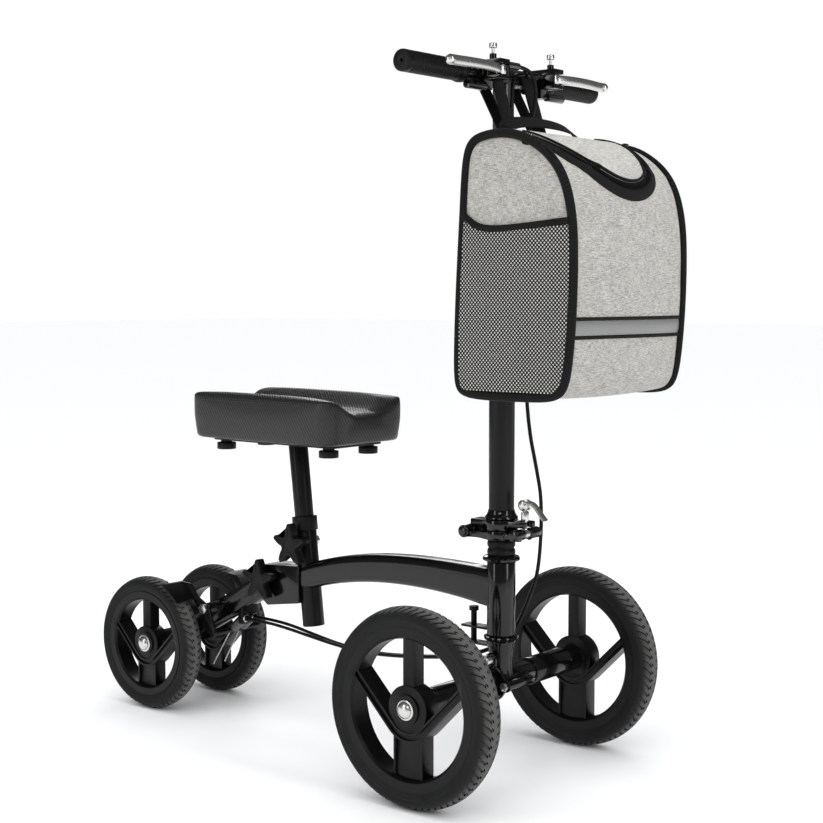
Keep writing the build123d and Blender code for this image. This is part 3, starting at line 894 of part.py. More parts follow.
# ---- write the pieces ---------------------------------------------------------------------
def main():
    os.makedirs("parts", exist_ok=True)
    f_y, r_y = FRONT_TRACK / 2, REAR_TRACK / 2
    front_z, rear_z = FRONT_WHEEL.radius, REAR_WHEEL.radius
    seat_x = seat_point(SEAT_KNOB_Z)[0]
    right_cable = cable_stretches(RIGHT_UPPER, RIGHT_MIDDLE, RIGHT_REAR)
    left_cable = cable_stretches(LEFT_UPPER, LEFT_MIDDLE, LEFT_REAR)
    right_perch, left_perch = lever_body(*RIGHT_BARREL), mirrored(lever_body(*LEFT_BARREL))
    pieces = {
        "main_beam": [main_beam()],
        "head_tube": [head_tube()],
        "headset_cups": headset_cups(),
        "steering_stop_plate": [steering_stop_plate()],
        "steering_lock_pin": [steering_lock_pin()],
        "seat_tube": [seat_tube()],
        "seat_collar": [seat_collar()],
        "rear_bracket": [rear_bracket()],
        "rear_frame": [rear_frame()],
        "frame_bolts": [brake_pivot_bolt(-1), brake_pivot_bolt(1), seat_tube_nut()],
        "cable_anchor": [cable_anchor()],
        "star_knob_seat": [star_knob(seat_x, SEAT_KNOB_Z, -SEAT_TUBE_RADIUS - 5, -POST_RADIUS - FREE_GAP)],
        "star_knob_neck": [star_knob(NECK_KNOB_X, NECK_KNOB_Z, -BRACKET_HALF_WIDTH,
                                     -BEAM_HALF_WIDTH + BEAM_WALL)],
        "seat_post": [seat_post()],
        "seat_plate": [seat_plate()],
        "pad_knobs": pad_knobs(),
        "knee_pad": [knee_pad()],
        "fork_stem": [fork_stem()],
        "front_axle": [front_axle()],
        "axle_flange": [axle_flange()],
        "axle_bolts": axle_bolts(),
        "axle_cam_lever": [axle_cam_lever()],
        "rubber_spacer": [rubber_spacer()],
        "fold_base": [fold_base()],
        "fold_head": [fold_head()],
        "fold_pin": [fold_pin()],
        "latch_bolt": [latch_bolt()],
        "latch_lever": [latch_lever()],
        "column_tube": [column_tube()],
        "height_clamp": [mirrored(height_clamp())],
        "height_lever": [mirrored(height_lever())],
        "handlebar": [handlebar()],
        "grip_right": [grip()],
        "grip_left": [mirrored(grip())],
        "lever_body_right": [right_perch],
        "lever_body_left": [left_perch],
        "brake_blade_right": [brake_blade()],
        "brake_blade_left": [mirrored(brake_blade())],
        "parking_pin_right": [parking_pin()],
        "parking_pin_left": [mirrored(parking_pin())],
        "bag": [bag()],
        "bag_straps": [bag_strap(-1), bag_strap(1)],
        "brake_arm_right": [brake_arm()],
        "brake_arm_left": [mirrored(brake_arm())],
        "brake_springs": brake_springs(),
        "brake_cables_upper": [right_cable[0], left_cable[0]],
        "brake_cables_middle": [right_cable[1], left_cable[1]],
        "brake_cables_rear": [right_cable[2], left_cable[2]],
        "front_wheel_bolts": [wheel_bolt(FRONT_WHEEL, 0, -f_y, -1), wheel_bolt(FRONT_WHEEL, 0, f_y, 1)],
        "rear_wheel_bolts": [wheel_bolt(REAR_WHEEL, REAR_X, -r_y, -1),
                             wheel_bolt(REAR_WHEEL, REAR_X, r_y, 1)],
        "front_wheel_bearings": wheel_bearings(FRONT_WHEEL, 0, -f_y) + wheel_bearings(FRONT_WHEEL, 0, f_y),
        "rear_wheel_bearings": wheel_bearings(REAR_WHEEL, REAR_X, -r_y) + wheel_bearings(REAR_WHEEL, REAR_X,
                                                                                         r_y),
    }
    for name, wheel, x, y, z in (("front_right", FRONT_WHEEL, 0, -f_y, front_z),
                                 ("front_left", FRONT_WHEEL, 0, f_y, front_z),
                                 ("rear_right", REAR_WHEEL, REAR_X, -r_y, rear_z), ("rear_left", REAR_WHEEL,
                                                                                    REAR_X, r_y, rear_z)):
        pieces["tyre_" + name] = [tyre(wheel).moved(Location((x, y, z)))]
        pieces["rim_" + name] = [rim(wheel).moved(Location((x, y, z)))]
    for name, solids in pieces.items():
        placed = [s.moved(Location((ORIGIN_X, 0, 0))) for s in solids]
        export_step(placed[0] if len(placed) == 1 else Compound(children=placed), "parts/" + name + ".step")
    print(len(pieces), "pieces, origin at X =", ORIGIN_X)


main()
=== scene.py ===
# %% [markdown]
# # A knee scooter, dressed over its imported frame
# The CAD model is already exact, so it is loaded once and never moved. Everything below adds what
# CAD leaves plain: rounded edges, tread, foam, cloth, wire, paint. Every place is written in
# millimetres from the steering axis, because that is how the scooter itself is laid out.

# %% Load the frame
import json
from math import acos, atan2, cos, hypot, pi, radians, sin

import bmesh
import bpy
from mathutils import Matrix, Vector, noise
from mathutils.bvhtree import BVHTree

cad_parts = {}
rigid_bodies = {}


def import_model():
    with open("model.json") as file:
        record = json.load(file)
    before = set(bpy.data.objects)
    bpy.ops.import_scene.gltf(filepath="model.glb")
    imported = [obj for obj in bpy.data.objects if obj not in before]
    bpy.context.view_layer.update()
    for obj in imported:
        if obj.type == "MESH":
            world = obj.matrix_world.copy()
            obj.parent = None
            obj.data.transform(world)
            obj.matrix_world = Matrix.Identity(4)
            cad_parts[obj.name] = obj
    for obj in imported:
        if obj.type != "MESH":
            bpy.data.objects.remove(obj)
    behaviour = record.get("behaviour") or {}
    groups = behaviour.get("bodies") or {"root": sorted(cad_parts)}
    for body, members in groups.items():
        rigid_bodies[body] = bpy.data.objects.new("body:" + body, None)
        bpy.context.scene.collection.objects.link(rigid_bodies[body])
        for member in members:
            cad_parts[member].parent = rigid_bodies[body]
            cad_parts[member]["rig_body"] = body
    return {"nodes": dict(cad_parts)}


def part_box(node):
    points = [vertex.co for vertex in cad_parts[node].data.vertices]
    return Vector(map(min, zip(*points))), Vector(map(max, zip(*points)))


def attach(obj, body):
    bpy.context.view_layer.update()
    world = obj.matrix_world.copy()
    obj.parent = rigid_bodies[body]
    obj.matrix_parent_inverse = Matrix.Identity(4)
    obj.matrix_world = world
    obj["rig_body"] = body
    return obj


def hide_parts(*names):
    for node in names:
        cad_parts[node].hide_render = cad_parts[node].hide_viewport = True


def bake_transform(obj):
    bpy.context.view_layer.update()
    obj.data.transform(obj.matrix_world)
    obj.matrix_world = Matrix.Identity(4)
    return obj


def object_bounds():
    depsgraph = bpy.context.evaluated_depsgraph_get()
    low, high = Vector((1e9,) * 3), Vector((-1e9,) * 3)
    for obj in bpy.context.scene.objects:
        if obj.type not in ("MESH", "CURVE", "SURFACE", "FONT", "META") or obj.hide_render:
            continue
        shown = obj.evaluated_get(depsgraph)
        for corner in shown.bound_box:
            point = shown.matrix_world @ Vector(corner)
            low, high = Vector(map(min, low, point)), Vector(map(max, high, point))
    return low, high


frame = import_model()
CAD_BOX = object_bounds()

MM = 0.001
head_low, head_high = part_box("head_tube")
STEER_X = (head_low.x + head_high.x) / 2
print("steering axis at X =", round(STEER_X, 4))


def at(x, y, z):
    """A place in metres from millimetres, with x counted from the steering axis."""
    return Vector((STEER_X + x * MM, y * MM, z * MM))


def middle_of(node):
    low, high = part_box(node)
    return (low + high) / 2


# %% [markdown]
# The camera stands in front of the scooter and to its right, a little above the middle, with a
# long lens. A long lens from farther away keeps the near wheel from swelling, which is what a
# product picture wants. The floor is plain and pale, and three soft panels light the scene: dark
# paint is read by what it mirrors, so the panels are large and placed where the tubes reflect them.

# %% Camera, floor and studio lights
CAMERA_TURN, CAMERA_DROP = 39.53, 4.26       # degrees round the scooter, and down
camera_data = bpy.data.cameras.new("camera")
camera_data.lens = 67.9
camera = bpy.data.objects.new("camera", camera_data)
camera.location = (1.4655, -1.6424, 0.6358)
camera.rotation_euler = (radians(90 - CAMERA_DROP), 0, radians(CAMERA_TURN))
bpy.context.scene.collection.objects.link(camera)
bpy.context.scene.camera = camera


def soft_panel(name, place, aim, size, power):
    data = bpy.data.lights.new(name, "AREA")
    data.shape = "RECTANGLE"
    data.size, data.size_y = size
    data.energy = power
    lamp = bpy.data.objects.new(name, data)
    lamp.location = place
    lamp.rotation_euler = (Vector(aim) - Vector(place)).to_track_quat("-Z", "Y").to_euler()
    bpy.context.scene.collection.objects.link(lamp)


soft_panel("front_left", (3.0, -0.2, 1.5), (0, 0, 0.45), (0.6, 2.4), 22)
soft_panel("right_side", (-1.0, -3.0, 1.4), (0, 0, 0.4), (0.6, 2.4), 18)
soft_panel("front_right", (1.6, -3.2, 2.2), (0.1, 0, 0.5), (1.2, 0.6), 12)
soft_panel("behind", (-1.8, 2.2, 1.8), (0, 0, 0.4), (1.0, 1.6), 18)
sky = bpy.data.lights.new("overhead", "SUN")
sky.energy = 3.3
sky.angle = radians(105)
sky_lamp = bpy.data.objects.new("overhead", sky)
sky_lamp.rotation_euler = (radians(14), radians(10), 0)
sky_lamp.visible_glossy = False      # it lights, and draws no white line on the paint
bpy.context.scene.collection.objects.link(sky_lamp)
bpy.context.scene.view_settings.view_transform = "Standard"

# %% [markdown]
# The room itself is white to look at but dim to be mirrored in. A dark glossy paint shows what
# surrounds it, and a room that is white all round turns black paint grey. The Light Path node
# keeps the two apart: the camera sees one background, and every reflection sees the other.

# %% A white room with dim walls
world = bpy.data.worlds.new("studio")
world.use_nodes = True
walls = world.node_tree.nodes["Background"]
walls.inputs["Color"].default_value = (1, 1, 1, 1)
walls.inputs["Strength"].default_value = 0.12
paper = world.node_tree.nodes.new("ShaderNodeBackground")
paper.inputs["Color"].default_value = (1, 1, 1, 1)
choose = world.node_tree.nodes.new("ShaderNodeMixShader")
path = world.node_tree.nodes.new("ShaderNodeLightPath")
world.node_tree.links.new(path.outputs["Is Camera Ray"], choose.inputs[0])
world.node_tree.links.new(walls.outputs[0], choose.inputs[1])
world.node_tree.links.new(paper.outputs[0], choose.inputs[2])
world.node_tree.links.new(choose.outputs[0], world.node_tree.nodes["World Output"].inputs["Surface"])
bpy.context.scene.world = world

# %% [markdown]
# ## Materials
# One small function adds a node and wires it. Colours are the sRGB values a designer would read
# off a swatch, and one function turns them into the linear values that a renderer works in.

# %% Colour and node helpers


def colour(code):
    """A linear RGBA colour from an sRGB hex code."""
    channels = [int(code[i:i + 2], 16) / 255 for i in (1, 3, 5)]
    return [c / 12.92 if c <= 0.04045 else ((c + 0.055) / 1.055) ** 2.4 for c in channels] + [1.0]


def add_node(tree, kind, inputs, **settings):
    """Add one node: settings are its own switches, inputs its sockets as values or as other outputs."""
    node = tree.nodes.new(kind)
    for name, value in settings.items():
        setattr(node, name, value)
    for socket, value in inputs.items():
        if isinstance(value, bpy.types.NodeSocket):
            tree.links.new(value, node.inputs[socket])
        else:
            node.inputs[socket].default_value = value
    return node


def start_material(name, base, roughness, **sockets):
    """A Principled material with its plain numbers set; returns it with its tree and its shader."""
    material = bpy.data.materials.new(name)
    material.use_nodes = True
    tree = material.node_tree
    shader = tree.nodes["Principled BSDF"]
    shader.inputs["Base Color"].default_value = colour(base)
    shader.inputs["Roughness"].default_value = roughness
    for socket, value in sockets.items():
        shader.inputs[socket.replace("_", " ")].default_value = value
    return material, tree, shader


def place_in_mm(tree):
    """Object coordinates counted in millimetres."""
    where = add_node(tree, "ShaderNodeTexCoord", {}).outputs["Object"]
    return add_node(tree, "ShaderNodeVectorMath", {0: where, 1: (1000, 1000, 1000)},
                    operation="MULTIPLY").outputs["Vector"]


def speckle(tree, where, grain_mm, detail=2.0, stretch=(1, 1, 1)):
    """Noise whose blobs are about grain_mm across."""
    scaled = add_node(tree, "ShaderNodeVectorMath", {0: where, 1: stretch}, operation="MULTIPLY")
    return add_node(tree, "ShaderNodeTexNoise", {"Vector": scaled.outputs["Vector"],
                    "Scale": 1 / grain_mm, "Detail": detail, "Roughness": 0.6}).outputs["Fac"]


def ripple(tree, where, direction, pitch_mm):
    """A wave from 0 to 1 that repeats every pitch_mm along a direction."""
    length = Vector(direction).length
    turns = add_node(tree, "ShaderNodeVectorMath", operation="DOT_PRODUCT",
                     inputs={0: where, 1: [c / length * 2 * pi / pitch_mm for c in direction]}).outputs["Value"]
    wave = add_node(tree, "ShaderNodeMath", {0: turns}, operation="SINE").outputs[0]
    return add_node(tree, "ShaderNodeMath", {0: wave, 1: 0.5, 2: 0.5}, operation="MULTIPLY_ADD").outputs[0]


def ramp(tree, factor, *stops):
    """A colour ramp from (position, hex) stops."""
    node = add_node(tree, "ShaderNodeValToRGB", {"Fac": factor})
    while len(node.color_ramp.elements) < len(stops):
        node.color_ramp.elements.new(0.5)
    for element, (position, code) in zip(node.color_ramp.elements, stops):
        element.position = position
        element.color = colour(code)
    return node.outputs["Color"]


def math(tree, operation, a, b):
    return add_node(tree, "ShaderNodeMath", {0: a, 1: b}, operation=operation).outputs[0]


def between(tree, factor, low, high):
    """Spread a 0-to-1 factor from low to high."""
    return add_node(tree, "ShaderNodeMath", {0: factor, 1: high - low, 2: low},
                    operation="MULTIPLY_ADD").outputs[0]


def raise_by(tree, shader, height, depth_mm, strength=1.0):
    """Bump the surface by a height from 0 to 1 that stands depth_mm high."""
    bump = add_node(tree, "ShaderNodeBump", {"Height": height, "Distance": depth_mm * MM, "Strength": strength})
    tree.links.new(bump.outputs["Normal"], shader.inputs["Normal"])


# %% [markdown]
# Powder coat is plastic dust melted onto steel. Close up it has orange peel, a slow waviness about
# two millimetres across, so its highlights wobble slightly. Die-cast parts of the fold are
# wet-enamelled instead, and mirror more sharply.

# %% Painted steel


def coated(name, base, roughness, peel_mm, coat):
    material, tree, shader = start_material(name, base, roughness, Coat_Weight=coat, Coat_Roughness=0.07,
                                            Specular_IOR_Level=0.2)
    where = place_in_mm(tree)
    raise_by(tree, shader, speckle(tree, where, peel_mm, 1.0), 0.05, 0.5)
    dulling = between(tree, speckle(tree, where, 14.0, 3.0), roughness - 0.04, roughness + 0.06)
    tree.links.new(dulling, shader.inputs["Roughness"])
    return material


gloss_coat = coated("gloss powder-coated steel", "#050506", 0.24, 2.2, 0.5)
satin_coat = coated("satin powder-coated steel", "#070708", 0.38, 1.6, 0.05)
enamel = coated("enamelled zinc die-casting", "#040405", 0.16, 4.0, 0.6)

# %% [markdown]
# Bolts, cams and brake levers are bright: zinc or chrome plate over steel. A metal keeps its
# default IOR; its colour comes from the base colour and its life from a faintly uneven roughness.

# %% Bright metal


def plated(name, base, roughness):
    material, tree, shader = start_material(name, base, roughness, Metallic=1.0)
    where = place_in_mm(tree)
    tree.links.new(between(tree, speckle(tree, where, 3.0, 3.0), roughness - 0.06, roughness + 0.08),
                   shader.inputs["Roughness"])
    raise_by(tree, shader, speckle(tree, where, 5.0, 1.0), 0.01, 0.3)
    return material


bright_plate = plated("bright zinc plate", "#d4d5d2", 0.26)
spring_steel = plated("drawn spring steel", "#7d7f80", 0.34)

# %% [markdown]
# Moulded plastic takes the texture of its mould: ABS knobs have a spark-eroded grain, and the
# glass-filled nylon of the wheels is smoother, with a satin shine.

# %% Moulded plastic and rubber


def moulded(name, base, roughness, grain_mm, depth_mm):
    material, tree, shader = start_material(name, base, roughness, Specular_IOR_Level=0.22)
    where = place_in_mm(tree)
    raise_by(tree, shader, speckle(tree, where, grain_mm, 2.0), depth_mm, 0.6)
    tree.links.new(between(tree, speckle(tree, where, 9.0, 3.0), roughness - 0.05, roughness + 0.07),
                   shader.inputs["Roughness"])
    return material


knob_plastic = moulded("spark-grained ABS", "#0c0c0d", 0.46, 0.8, 0.06)
rim_nylon = moulded("glass-filled nylon", "#080809", 0.34, 1.2, 0.04)
grip_rubber = moulded("moulded grip rubber", "#0a0a0b", 0.46, 0.7, 0.05)
cable_jacket = moulded("PVC cable jacket", "#070708", 0.34, 1.0, 0.02)


def tyre_rubber():
    """Solid PU tyre: dark grey with random dust, its outward-facing tread painted lighter than its sidewalls as
    painted light.
    """
    material, tree, shader = start_material("foamed tyre rubber", "#232424", 0.7,
                                            Specular_IOR_Level=0.25)
    where = place_in_mm(tree)
    dust = math(tree, "ADD", math(tree, "MULTIPLY", speckle(tree, where, 26.0, 4.0), 0.6),
                math(tree, "MULTIPLY", speckle(tree, where, 1.4, 3.0), 0.4))
    # The tread faces outward and is painted lighter than the sidewalls, which face sideways: painted light from above,
    # mixed with real dust.
    facing = add_node(tree, "ShaderNodeTexCoord", {}).outputs["Normal"]
    across = add_node(tree, "ShaderNodeVectorMath", {0: facing, 1: (0, 1, 0)}, operation="DOT_PRODUCT")
    tread_painted_light = math(tree, "SUBTRACT", 1.0, math(tree, "ABSOLUTE", across.outputs["Value"], 0.0))
    dust_and_painted_light = math(tree, "ADD", math(tree, "MULTIPLY", dust, 0.45), math(tree, "MULTIPLY", tread_painted_light, 0.55))
    tree.links.new(ramp(tree, dust_and_painted_light, (0.2, "#0f1010"), (0.42, "#1e1f1f"), (0.66, "#545553")),
                   shader.inputs["Base Color"])
    tree.links.new(between(tree, dust, 0.55, 0.85), shader.inputs["Roughness"])
    raise_by(tree, shader, speckle(tree, where, 0.9, 3.0), 0.1, 0.5)
    return material


tread_rubber = tyre_rubber()

# %% [markdown]
# The knee rest is covered in vinyl embossed like woven carbon: narrow diagonal ribs, broken up by
# a second, finer set across them. Both sets are waves along fixed directions, so they need no
# unwrapping and run on round the corners, as embossed sheet does.

# %% Embossed vinyl


def embossed_vinyl():
    rib_mm, cross_mm = 3.4, 2.6         # drawn a little coarser than the real 2 mm ribs, so that it shows
    material, tree, shader = start_material("carbon-embossed vinyl", "#131414", 0.4, Coat_Weight=0.1)
    where = place_in_mm(tree)
    ribs = ripple(tree, where, (1.0, 0.9, 0.62), rib_mm)
    cross = ripple(tree, where, (-0.7, 0.8, 1.1), cross_mm)
    weave = math(tree, "ADD", math(tree, "MULTIPLY", ribs, 0.8), math(tree, "MULTIPLY", cross, 0.2))
    # The rib tops are painted lighter and the grooves darker: painted highlight and painted shade on the embossing.
    tree.links.new(ramp(tree, weave, (0.15, "#0a0b0b"), (0.6, "#151616"), (0.95, "#282929")),
                   shader.inputs["Base Color"])
    tree.links.new(between(tree, weave, 0.58, 0.4), shader.inputs["Roughness"])
    raise_by(tree, shader, weave, 0.35, 0.8)
    return material


vinyl = embossed_vinyl()

# %% [markdown]
# The bag is heather polyester: warp and weft yarns spun from lighter and darker fibres. Two noises
# stretched along the two yarn directions give the slubs, and two fine waves give the weave.

# %% Bag cloth, webbing, net and reflective tape


def heather(name, dark, mid, light):
    thread_mm = 1.3                     # coarser than the real 0.5 mm, so that it shows
    material, tree, shader = start_material(name, mid, 0.88, Sheen_Weight=0.25)
    where = place_in_mm(tree)
    along = speckle(tree, where, 0.5, 1.0, (0.07, 0.07, 1.0))
    down = speckle(tree, where, 0.5, 1.0, (1.0, 1.0, 0.14))
    cloud = speckle(tree, where, 14.0, 3.0)
    threads = math(tree, "ADD", math(tree, "MULTIPLY", along, 0.5), math(tree, "MULTIPLY", down, 0.36))
    mix = math(tree, "ADD", threads, math(tree, "MULTIPLY", cloud, 0.14))
    tree.links.new(ramp(tree, mix, (0.4, dark), (0.5, mid), (0.62, light)), shader.inputs["Base Color"])
    weave = math(tree, "MULTIPLY", ripple(tree, where, (0, 0, 1), thread_mm),
                 ripple(tree, where, (1, 1, 0), thread_mm))
    raise_by(tree, shader, math(tree, "ADD", weave, math(tree, "MULTIPLY", mix, 0.8)), 0.25, 0.8)
    return material


bag_cloth = heather("heather polyester", "#7d7b77", "#aaa8a3", "#cbc9c3")
# The lid's cloth is the bag's heather painted lighter: painted light on the top of the lid.
lid_cloth_painted_lighter = heather("heather polyester, painted lighter", "#8a8884", "#b4b2ad", "#cfcdc8")


def webbing():
    """Polypropylene webbing and binding: black, with a herringbone rib."""
    rib_mm = 1.8
    material, tree, shader = start_material("polypropylene webbing", "#0b0b0c", 0.85, Sheen_Weight=0.03,
                                            Specular_IOR_Level=0.2)
    where = place_in_mm(tree)
    weave = math(tree, "MULTIPLY", ripple(tree, where, (1, 1, 1), rib_mm),
                 ripple(tree, where, (1, -1, 1), rib_mm))
    # The ribs are painted lighter and the hollows between them darker: painted highlight and painted shade on the
    # weave.
    tree.links.new(ramp(tree, weave, (0.0, "#070707"), (0.8, "#1c1d1d")), shader.inputs["Base Color"])
    raise_by(tree, shader, weave, 0.3, 0.7)
    return material


black_webbing = webbing()


def pocket_net():
    """Knitted net: black yarn with staggered round holes that show the grey cloth behind."""
    hole_x_mm, hole_z_mm = 5.0, 5.2
    material, tree, shader = start_material("knitted net", "#1a1b1b", 0.8)
    where = place_in_mm(tree)
    across = ripple(tree, where, (1, 0, 0), hole_x_mm)
    up = ripple(tree, where, (0, 0, 1), hole_z_mm)
    signed = [between(tree, wave, -1.0, 1.0) for wave in (across, up)]
    holes = between(tree, math(tree, "MULTIPLY", *signed), 0.5, 1.0)
    fuzz = math(tree, "ADD", holes, math(tree, "MULTIPLY", speckle(tree, where, 1.0, 2.0), 0.12))
    tree.links.new(ramp(tree, fuzz, (0.62, "#0b0c0c"), (0.71, "#656663"), (0.8, "#c6c5c1")),
                   shader.inputs["Base Color"])
    deep = add_node(tree, "ShaderNodeMath", {0: 1.0, 1: holes}, operation="SUBTRACT").outputs[0]
    raise_by(tree, shader, deep, 0.8, 0.8)
    return material


net = pocket_net()


def reflective_tape():
    """Glass-bead tape: grey, faintly pearly, with a pressed diamond grid."""
    material, tree, shader = start_material("glass-bead reflective tape", "#8d8e8d", 0.42,
                                            Metallic=0.35, Coat_Weight=0.3)
    where = place_in_mm(tree)
    cells = math(tree, "MULTIPLY", ripple(tree, where, (0, 1, 1), 2.4), ripple(tree, where, (0, 1, -1), 2.4))
    tree.links.new(ramp(tree, cells, (0.0, "#7c7d7c"), (0.7, "#9fa09f")), shader.inputs["Base Color"])
    raise_by(tree, shader, cells, 0.1, 0.5)
    return material


tape = reflective_tape()
thread = moulded("bonded nylon thread", "#4a4c4e", 0.6, 0.5, 0.05)
floor_paint = moulded("matt studio floor", "#f4f5f6", 0.9, 3.0, 0.01)

# %% [markdown]
# ## Building pieces
# Each new piece starts as a bmesh. One function finishes it: smooth shading broken at hard edges,
# the material, the body it rides on, and the CAD nodes that it stands for.

# %% Piece helpers


def piece(name, bm, body, material, replaces=(), crease=35):
    mesh = bpy.data.meshes.new(name)
    bm.to_mesh(mesh)
    bm.free()
    mesh.shade_smooth()
    mesh.set_sharp_from_angle(angle=radians(crease))
    mesh.materials.append(material)
    obj = bpy.data.objects.new(name, mesh)
    bpy.context.scene.collection.objects.link(obj)
    if body:
        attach(obj, body)
    if replaces:
        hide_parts(*replaces)
    return obj


def outward(bm):
    bmesh.ops.remove_doubles(bm, verts=bm.verts, dist=1e-6)
    bmesh.ops.recalc_face_normals(bm, faces=bm.faces)
    return bm


def rounded(bm, width_mm, segments=2, angle=38, clamp=False):
    """Round every edge sharper than angle; clamp keeps neighbouring roundings from crossing."""
    sharp = [e for e in bm.edges if len(e.link_faces) == 2 and e.calc_face_angle(0) > radians(angle)]
    if sharp:
        bmesh.ops.bevel(bm, geom=sharp, offset=width_mm * MM, segments=segments, profile=0.5,
                        affect="EDGES", material=-1, clamp_overlap=clamp, loop_slide=True)
    return bm


clamped = []                        # parts whose short edges allow less rounding, or none


def softened(node, width_mm, material, angle=38):
    """A copy of a CAD node whose hard edges are rounded, standing for the node."""
    source = frame["nodes"][node]
    for offset, clamp in ((width_mm, False), (width_mm, True), (0, True)):
        bm = bmesh.new()
        bm.from_mesh(source.data)
        bmesh.ops.remove_doubles(bm, verts=bm.verts, dist=2e-6)
        bmesh.ops.dissolve_limit(bm, angle_limit=radians(0.8), verts=bm.verts, edges=bm.edges)
        surface = BVHTree.FromBMesh(bm)
        if offset:
            rounded(bm, offset, 2, angle, clamp)
        places = [v.co for v in bm.verts]
        places += [sum((corner.vert.co for corner in three), Vector()) / 3 for three in bm.calc_loop_triangles()]
        stray = max(surface.find_nearest(place)[3] for place in places)
        if not offset or stray < width_mm * MM:
            break
        bm.free()
    if clamp:
        clamped.append((node, offset))
    return piece(node + "_finished", bm, source["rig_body"], material, [node])


def turned(profile, centre, axis="Y", steps=48):
    """Spin a profile of (radius, along) millimetres about an axis through centre."""
    bm = bmesh.new()
    verts = [bm.verts.new((r * MM, 0, along * MM)) for r, along in profile]
    edges = [bm.edges.new(pair) for pair in zip(verts, verts[1:])]
    bmesh.ops.spin(bm, geom=verts + edges, cent=(0, 0, 0), axis=(0, 0, 1), angle=2 * pi, steps=steps,
                   use_merge=True)
    outward(bm)
    lay = Matrix.Rotation(-pi / 2, 4, "X") if axis == "Y" else Matrix.Identity(4)
    if axis == "X":
        lay = Matrix.Rotation(pi / 2, 4, "Y")
    bmesh.ops.transform(bm, matrix=Matrix.Translation(centre) @ lay, verts=bm.verts)
    return bm


def smooth_line(points, cyclic=False, divisions=8):
    """Points read from a NURBS curve whose control points are given."""
    data = bpy.data.curves.new("line", "CURVE")
    data.dimensions = "3D"
    spline = data.splines.new("NURBS")
    spline.points.add(len(points) - 1)
    for point, place in zip(spline.points, points):
        point.co = (*place, 1)
    spline.order_u = 3
    spline.use_cyclic_u = cyclic
    spline.use_endpoint_u = not cyclic
    spline.resolution_u = divisions
    obj = bpy.data.objects.new("line", data)
    mesh = bpy.data.meshes.new_from_object(obj)
    line = [v.co.copy() for v in mesh.vertices]
    bpy.data.objects.remove(obj)
    bpy.data.meshes.remove(mesh)
    return line


def tube_mesh(points, radius_mm, cyclic=False, sides=3, divisions=8):
    """A round tube along a NURBS curve, as a bmesh."""
    data = bpy.data.curves.new("tube", "CURVE")
    data.dimensions = "3D"
    data.bevel_depth = radius_mm * MM
    data.bevel_resolution = sides
    data.use_fill_caps = not cyclic
    spline = data.splines.new("NURBS")
    spline.points.add(len(points) - 1)
    for point, place in zip(spline.points, points):
        point.co = (*place, 1)
    spline.order_u = 3
    spline.use_cyclic_u = cyclic
    spline.use_endpoint_u = not cyclic
    spline.resolution_u = divisions
    obj = bpy.data.objects.new("tube", data)
    mesh = bpy.data.meshes.new_from_object(obj)
    bm = bmesh.new()
    bm.from_mesh(mesh)
    bpy.data.objects.remove(obj)
    bpy.data.meshes.remove(mesh)
    return outward(bm)

# %% [markdown]
# ## Paint and soften the CAD parts
# CAD edges are perfectly sharp, and real ones never are: a cast edge is rounded by a millimetre, a
# cut tube by a few tenths. Each hard part is copied, its triangles merged back into plain faces,
# and its sharp edges bevelled, so that every edge catches a thin line of light.

# %% Soften the hard parts
HARD_PARTS = {
    "gloss_black_frame": (gloss_coat, 0.9, ["main_beam", "head_tube", "rear_bracket", "rear_frame", "fork_stem",
                                            "front_axle", "handlebar"]),
    "satin_black_frame": (satin_coat, 0.5, ["steering_stop_plate", "steering_lock_pin", "seat_tube", "seat_post",
                                            "seat_plate", "column_tube", "cable_anchor"]),
    "black_casting": (enamel, 0.9, ["axle_flange", "height_clamp", "height_lever", "fold_pin"]),
    "bright_steel": (bright_plate, 0.5, ["frame_bolts", "axle_bolts", "axle_cam_lever",
                                         "front_wheel_bolts", "rear_wheel_bolts",
                                         "parking_pin_right", "parking_pin_left"]),
    "steel": (spring_steel, 0.3, ["front_wheel_bearings", "rear_wheel_bearings"]),
    "matte_black_plastic": (knob_plastic, 0.9, ["seat_collar", "pad_knobs"]),
}
for slot_name, (paint, width, nodes) in HARD_PARTS.items():
    for node in nodes:
        done = softened(node, width, paint)
        print(node, len(done.data.polygons), "faces")
for node in ("rim_front_right", "rim_front_left", "rim_rear_right", "rim_rear_left"):
    softened(node, 0.8, rim_nylon, 50)

# %% [markdown]
# ## Tyres
# A foam tyre is moulded in one piece with its tread. A flat grid is wrapped round the wheel: one
# side of the grid runs round the tyre, the other across it from bead to bead. Leaning the grid
# towards each shoulder gives slanted lugs, and the grooves between them are inset downwards, so
# the lugs are real shapes and show along the tyre's edge.

# %% Tyres with lugs
TREAD_ROWS = 12                     # rows of the grid across the tread
GROOVE_DEPTH, GROOVE_SLOPE = 2.0, 0.45
LUG_SLANT = 5.0                     # columns that a groove runs on by, per half width
# the section from bead to crown: share of the bead's depth, and share of the half width
SECTION = [(1.27, 0.56), (1.0, 0.77), (0.93, 0.8), (0.9, 0.84), (0.78, 0.91), (0.7, 0.94), (0.68, 0.97),
           (0.55, 1.0), (0.42, 0.985), (0.3, 0.9), (0.21, 0.79), (0.14, 0.64), (0.085, 0.48), (0.04, 0.32),
           (0.012, 0.16), (0.0, 0.0)]


